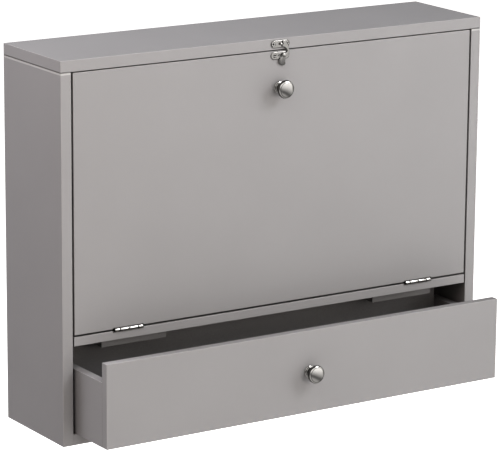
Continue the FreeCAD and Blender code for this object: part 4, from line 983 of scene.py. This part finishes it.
class WALL_DESK_OT_set_stage(bpy.types.Operator):
    """Lay the floor, set the lights and place the camera"""

    bl_idname = "wall_desk.set_stage"
    bl_label = "Stage"

    def execute(self, context):
        stage = context.scene.wall_desk_stage
        self.lay_floor(context, stage)
        for light in LIGHTS:
            self.soft_box(context, *light)
        self.surround(context, stage)
        context.scene.view_settings.view_transform = "Standard"
        self.place_camera(context, stage)
        return {"FINISHED"}

    def lay_floor(self, context, stage):
        """A wide round sheet of white paper at the level of the room's floor, curled up at its rim.

        It lies there twice: plain, to throw light up at the desk, and lit through, for the camera alone.
        """
        level = JOINTS["door_hinge"]["pos_m"][2] - stage.writing_height
        middle, flat, curl, steps = 0.001, 24.0, 6.0, 64
        profile = np.concatenate([[(middle, level)], arc((flat, level + curl), curl, -90, 0, 12),
                                  [(flat + curl, level + 2 * curl)]])
        sheet = turned(profile, np.zeros(len(profile)), steps)[..., :3].reshape(-1, 3)
        papers = (("floor", "matt_white_paper", 0.0), ("lit_floor", "lit_white_paper", 1.3))
        for name, finish, glow in papers:
            mesh = bpy.data.meshes.new(name)
            mesh.from_pydata(sheet.tolist(), [], ring_quads(len(profile), steps).tolist())
            mesh.materials.append(white_paper(finish, stage.floor, glow))
            floor = bpy.data.objects.new(name, mesh)
            floor.visible_camera, floor.visible_diffuse = glow > 0, glow == 0
            floor.visible_glossy = floor.visible_shadow = False
            context.scene.collection.objects.link(floor)

    def soft_box(self, context, name, at, aim, side, power, colour, mirrored):
        """A soft square light that looks at a point."""
        lamp = bpy.data.lights.new(name, "AREA")
        lamp.shape = "SQUARE"
        lamp.size, lamp.energy, lamp.color = side, power, linear(colour)[:3]
        holder = bpy.data.objects.new(name, lamp)
        holder.visible_glossy = mirrored
        holder.location = at
        holder.rotation_euler = (Vector(aim) - Vector(at)).to_track_quat("-Z", "Y").to_euler()
        context.scene.collection.objects.link(holder)

    def surround(self, context, stage):
        """The studio round the desk, which only sheen and mirrors show.

        It is brightest a little above the horizon and to the left, and dark overhead, far to the right
        and behind.
        """
        world = bpy.data.worlds.new("studio")
        world.use_nodes = True
        world.node_tree.nodes.clear()
        add = partial(add_node, world.node_tree)
        direction = add("TexCoord").outputs["Generated"]
        parts = add("SeparateXYZ", [direction]).outputs
        # The heights lean up to the right of where a flat front mirrors the studio.
        lean, flat_front, back_lean = 0.4, 0.526, 0.5
        level = lean * flat_front
        tilted = add("Math", [parts["X"], lean, parts["Z"]], operation="MULTIPLY_ADD")
        share = add("MapRange", [tilted, level - 1, level + 1, 0.0, 1.0])
        # Each range has two places and the strengths there.
        left = add("MapRange", [parts["X"], -0.7, -0.1, 1.5, 1.0])
        right = add("MapRange", [parts["X"], 0.88, 0.95, 1.0, 0.1])
        behind = add("Math", [parts["Z"], back_lean, parts["Y"]], operation="MULTIPLY_ADD")
        ahead = add("MapRange", [behind, 0.3, -0.2, 0.05, 1.0])
        ramp = add("ValToRGB", [share])
        stops = ramp.color_ramp.elements
        while len(stops) < len(SURROUNDINGS):
            stops.new(0.5)
        for stop, (sine, brightness) in zip(stops, SURROUNDINGS):
            stop.position = (sine + 1) / 2
            stop.color = (brightness, brightness, brightness, 1)
        sides = add("Math", [left, right], operation="MULTIPLY")
        lit = add("Math", [sides, ahead], operation="MULTIPLY")
        strength = add("Math", [lit, stage.ambient], operation="MULTIPLY")
        background = add("Background", {"Color": ramp, "Strength": strength})
        add("OutputWorld", {"Surface": background})
        world.cycles_visibility.diffuse = False
        context.scene.world = world

    def place_camera(self, context, stage):
        """A camera at an azimuth, elevation and distance from its target, turned by its roll."""
        camera = bpy.data.cameras.new("camera")
        camera.sensor_fit, camera.sensor_width, camera.lens = "HORIZONTAL", 36.0, stage.lens
        camera.clip_start, camera.clip_end = 0.1, 100.0
        holder = bpy.data.objects.new("camera", camera)
        azimuth, elevation = stage.azimuth, stage.elevation
        back = Vector((math.sin(azimuth) * math.cos(elevation), -math.cos(azimuth) * math.cos(elevation),
                       math.sin(elevation)))
        facing = (-back).to_track_quat("-Z", "Y").to_matrix().to_4x4()
        holder.matrix_world = (Matrix.Translation(Vector(stage.target) + back * stage.distance)
                               @ facing @ Matrix.Rotation(stage.roll, 4, "Z"))
        context.scene.collection.objects.link(holder)
        context.scene.camera = holder


OPERATORS = (
    WALL_DESK_OT_paint_boards,
    WALL_DESK_OT_line_boards,
    WALL_DESK_OT_turn_knobs,
    WALL_DESK_OT_make_latch,
    WALL_DESK_OT_make_screws,
    WALL_DESK_OT_make_hinges,
    WALL_DESK_OT_make_stays,
    WALL_DESK_OT_set_stage,
)


class WALL_DESK_PT_panel(bpy.types.Panel):
    """Settings and steps of the wall desk"""

    bl_idname = "WALL_DESK_PT_panel"
    bl_label = "Wall desk"
    bl_space_type = "VIEW_3D"
    bl_region_type = "UI"
    bl_category = "Wall desk"

    def draw(self, context):
        for name in SETTINGS:
            box = self.layout.box()
            group = getattr(context.scene, name)
            for key in group.bl_rna.properties.keys():
                if key not in ("rna_type", "name"):
                    box.prop(group, key)
        for operator in OPERATORS:
            self.layout.operator(operator.bl_idname)


SETTINGS = {
    "wall_desk_paint": PaintSettings,
    "wall_desk_metal": MetalSettings,
    "wall_desk_stage": StageSettings,
}
CLASSES = (*SETTINGS.values(), *OPERATORS, WALL_DESK_PT_panel)


def register():
    """Register the classes and hang the settings on the scene."""
    for made in CLASSES:
        bpy.utils.register_class(made)
    for name, kind in SETTINGS.items():
        setattr(bpy.types.Scene, name, bpy.props.PointerProperty(type=kind))


def unregister():
    """Take the settings and the classes away again."""
    for name in SETTINGS:
        delattr(bpy.types.Scene, name)
    for made in reversed(CLASSES):
        bpy.utils.unregister_class(made)


def main():
    """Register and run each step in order."""
    register()
    for operator in OPERATORS:
        step = operator.bl_idname.split(".")[1]
        getattr(bpy.ops.wall_desk, step)()


if __name__ == "__main__":
    main()
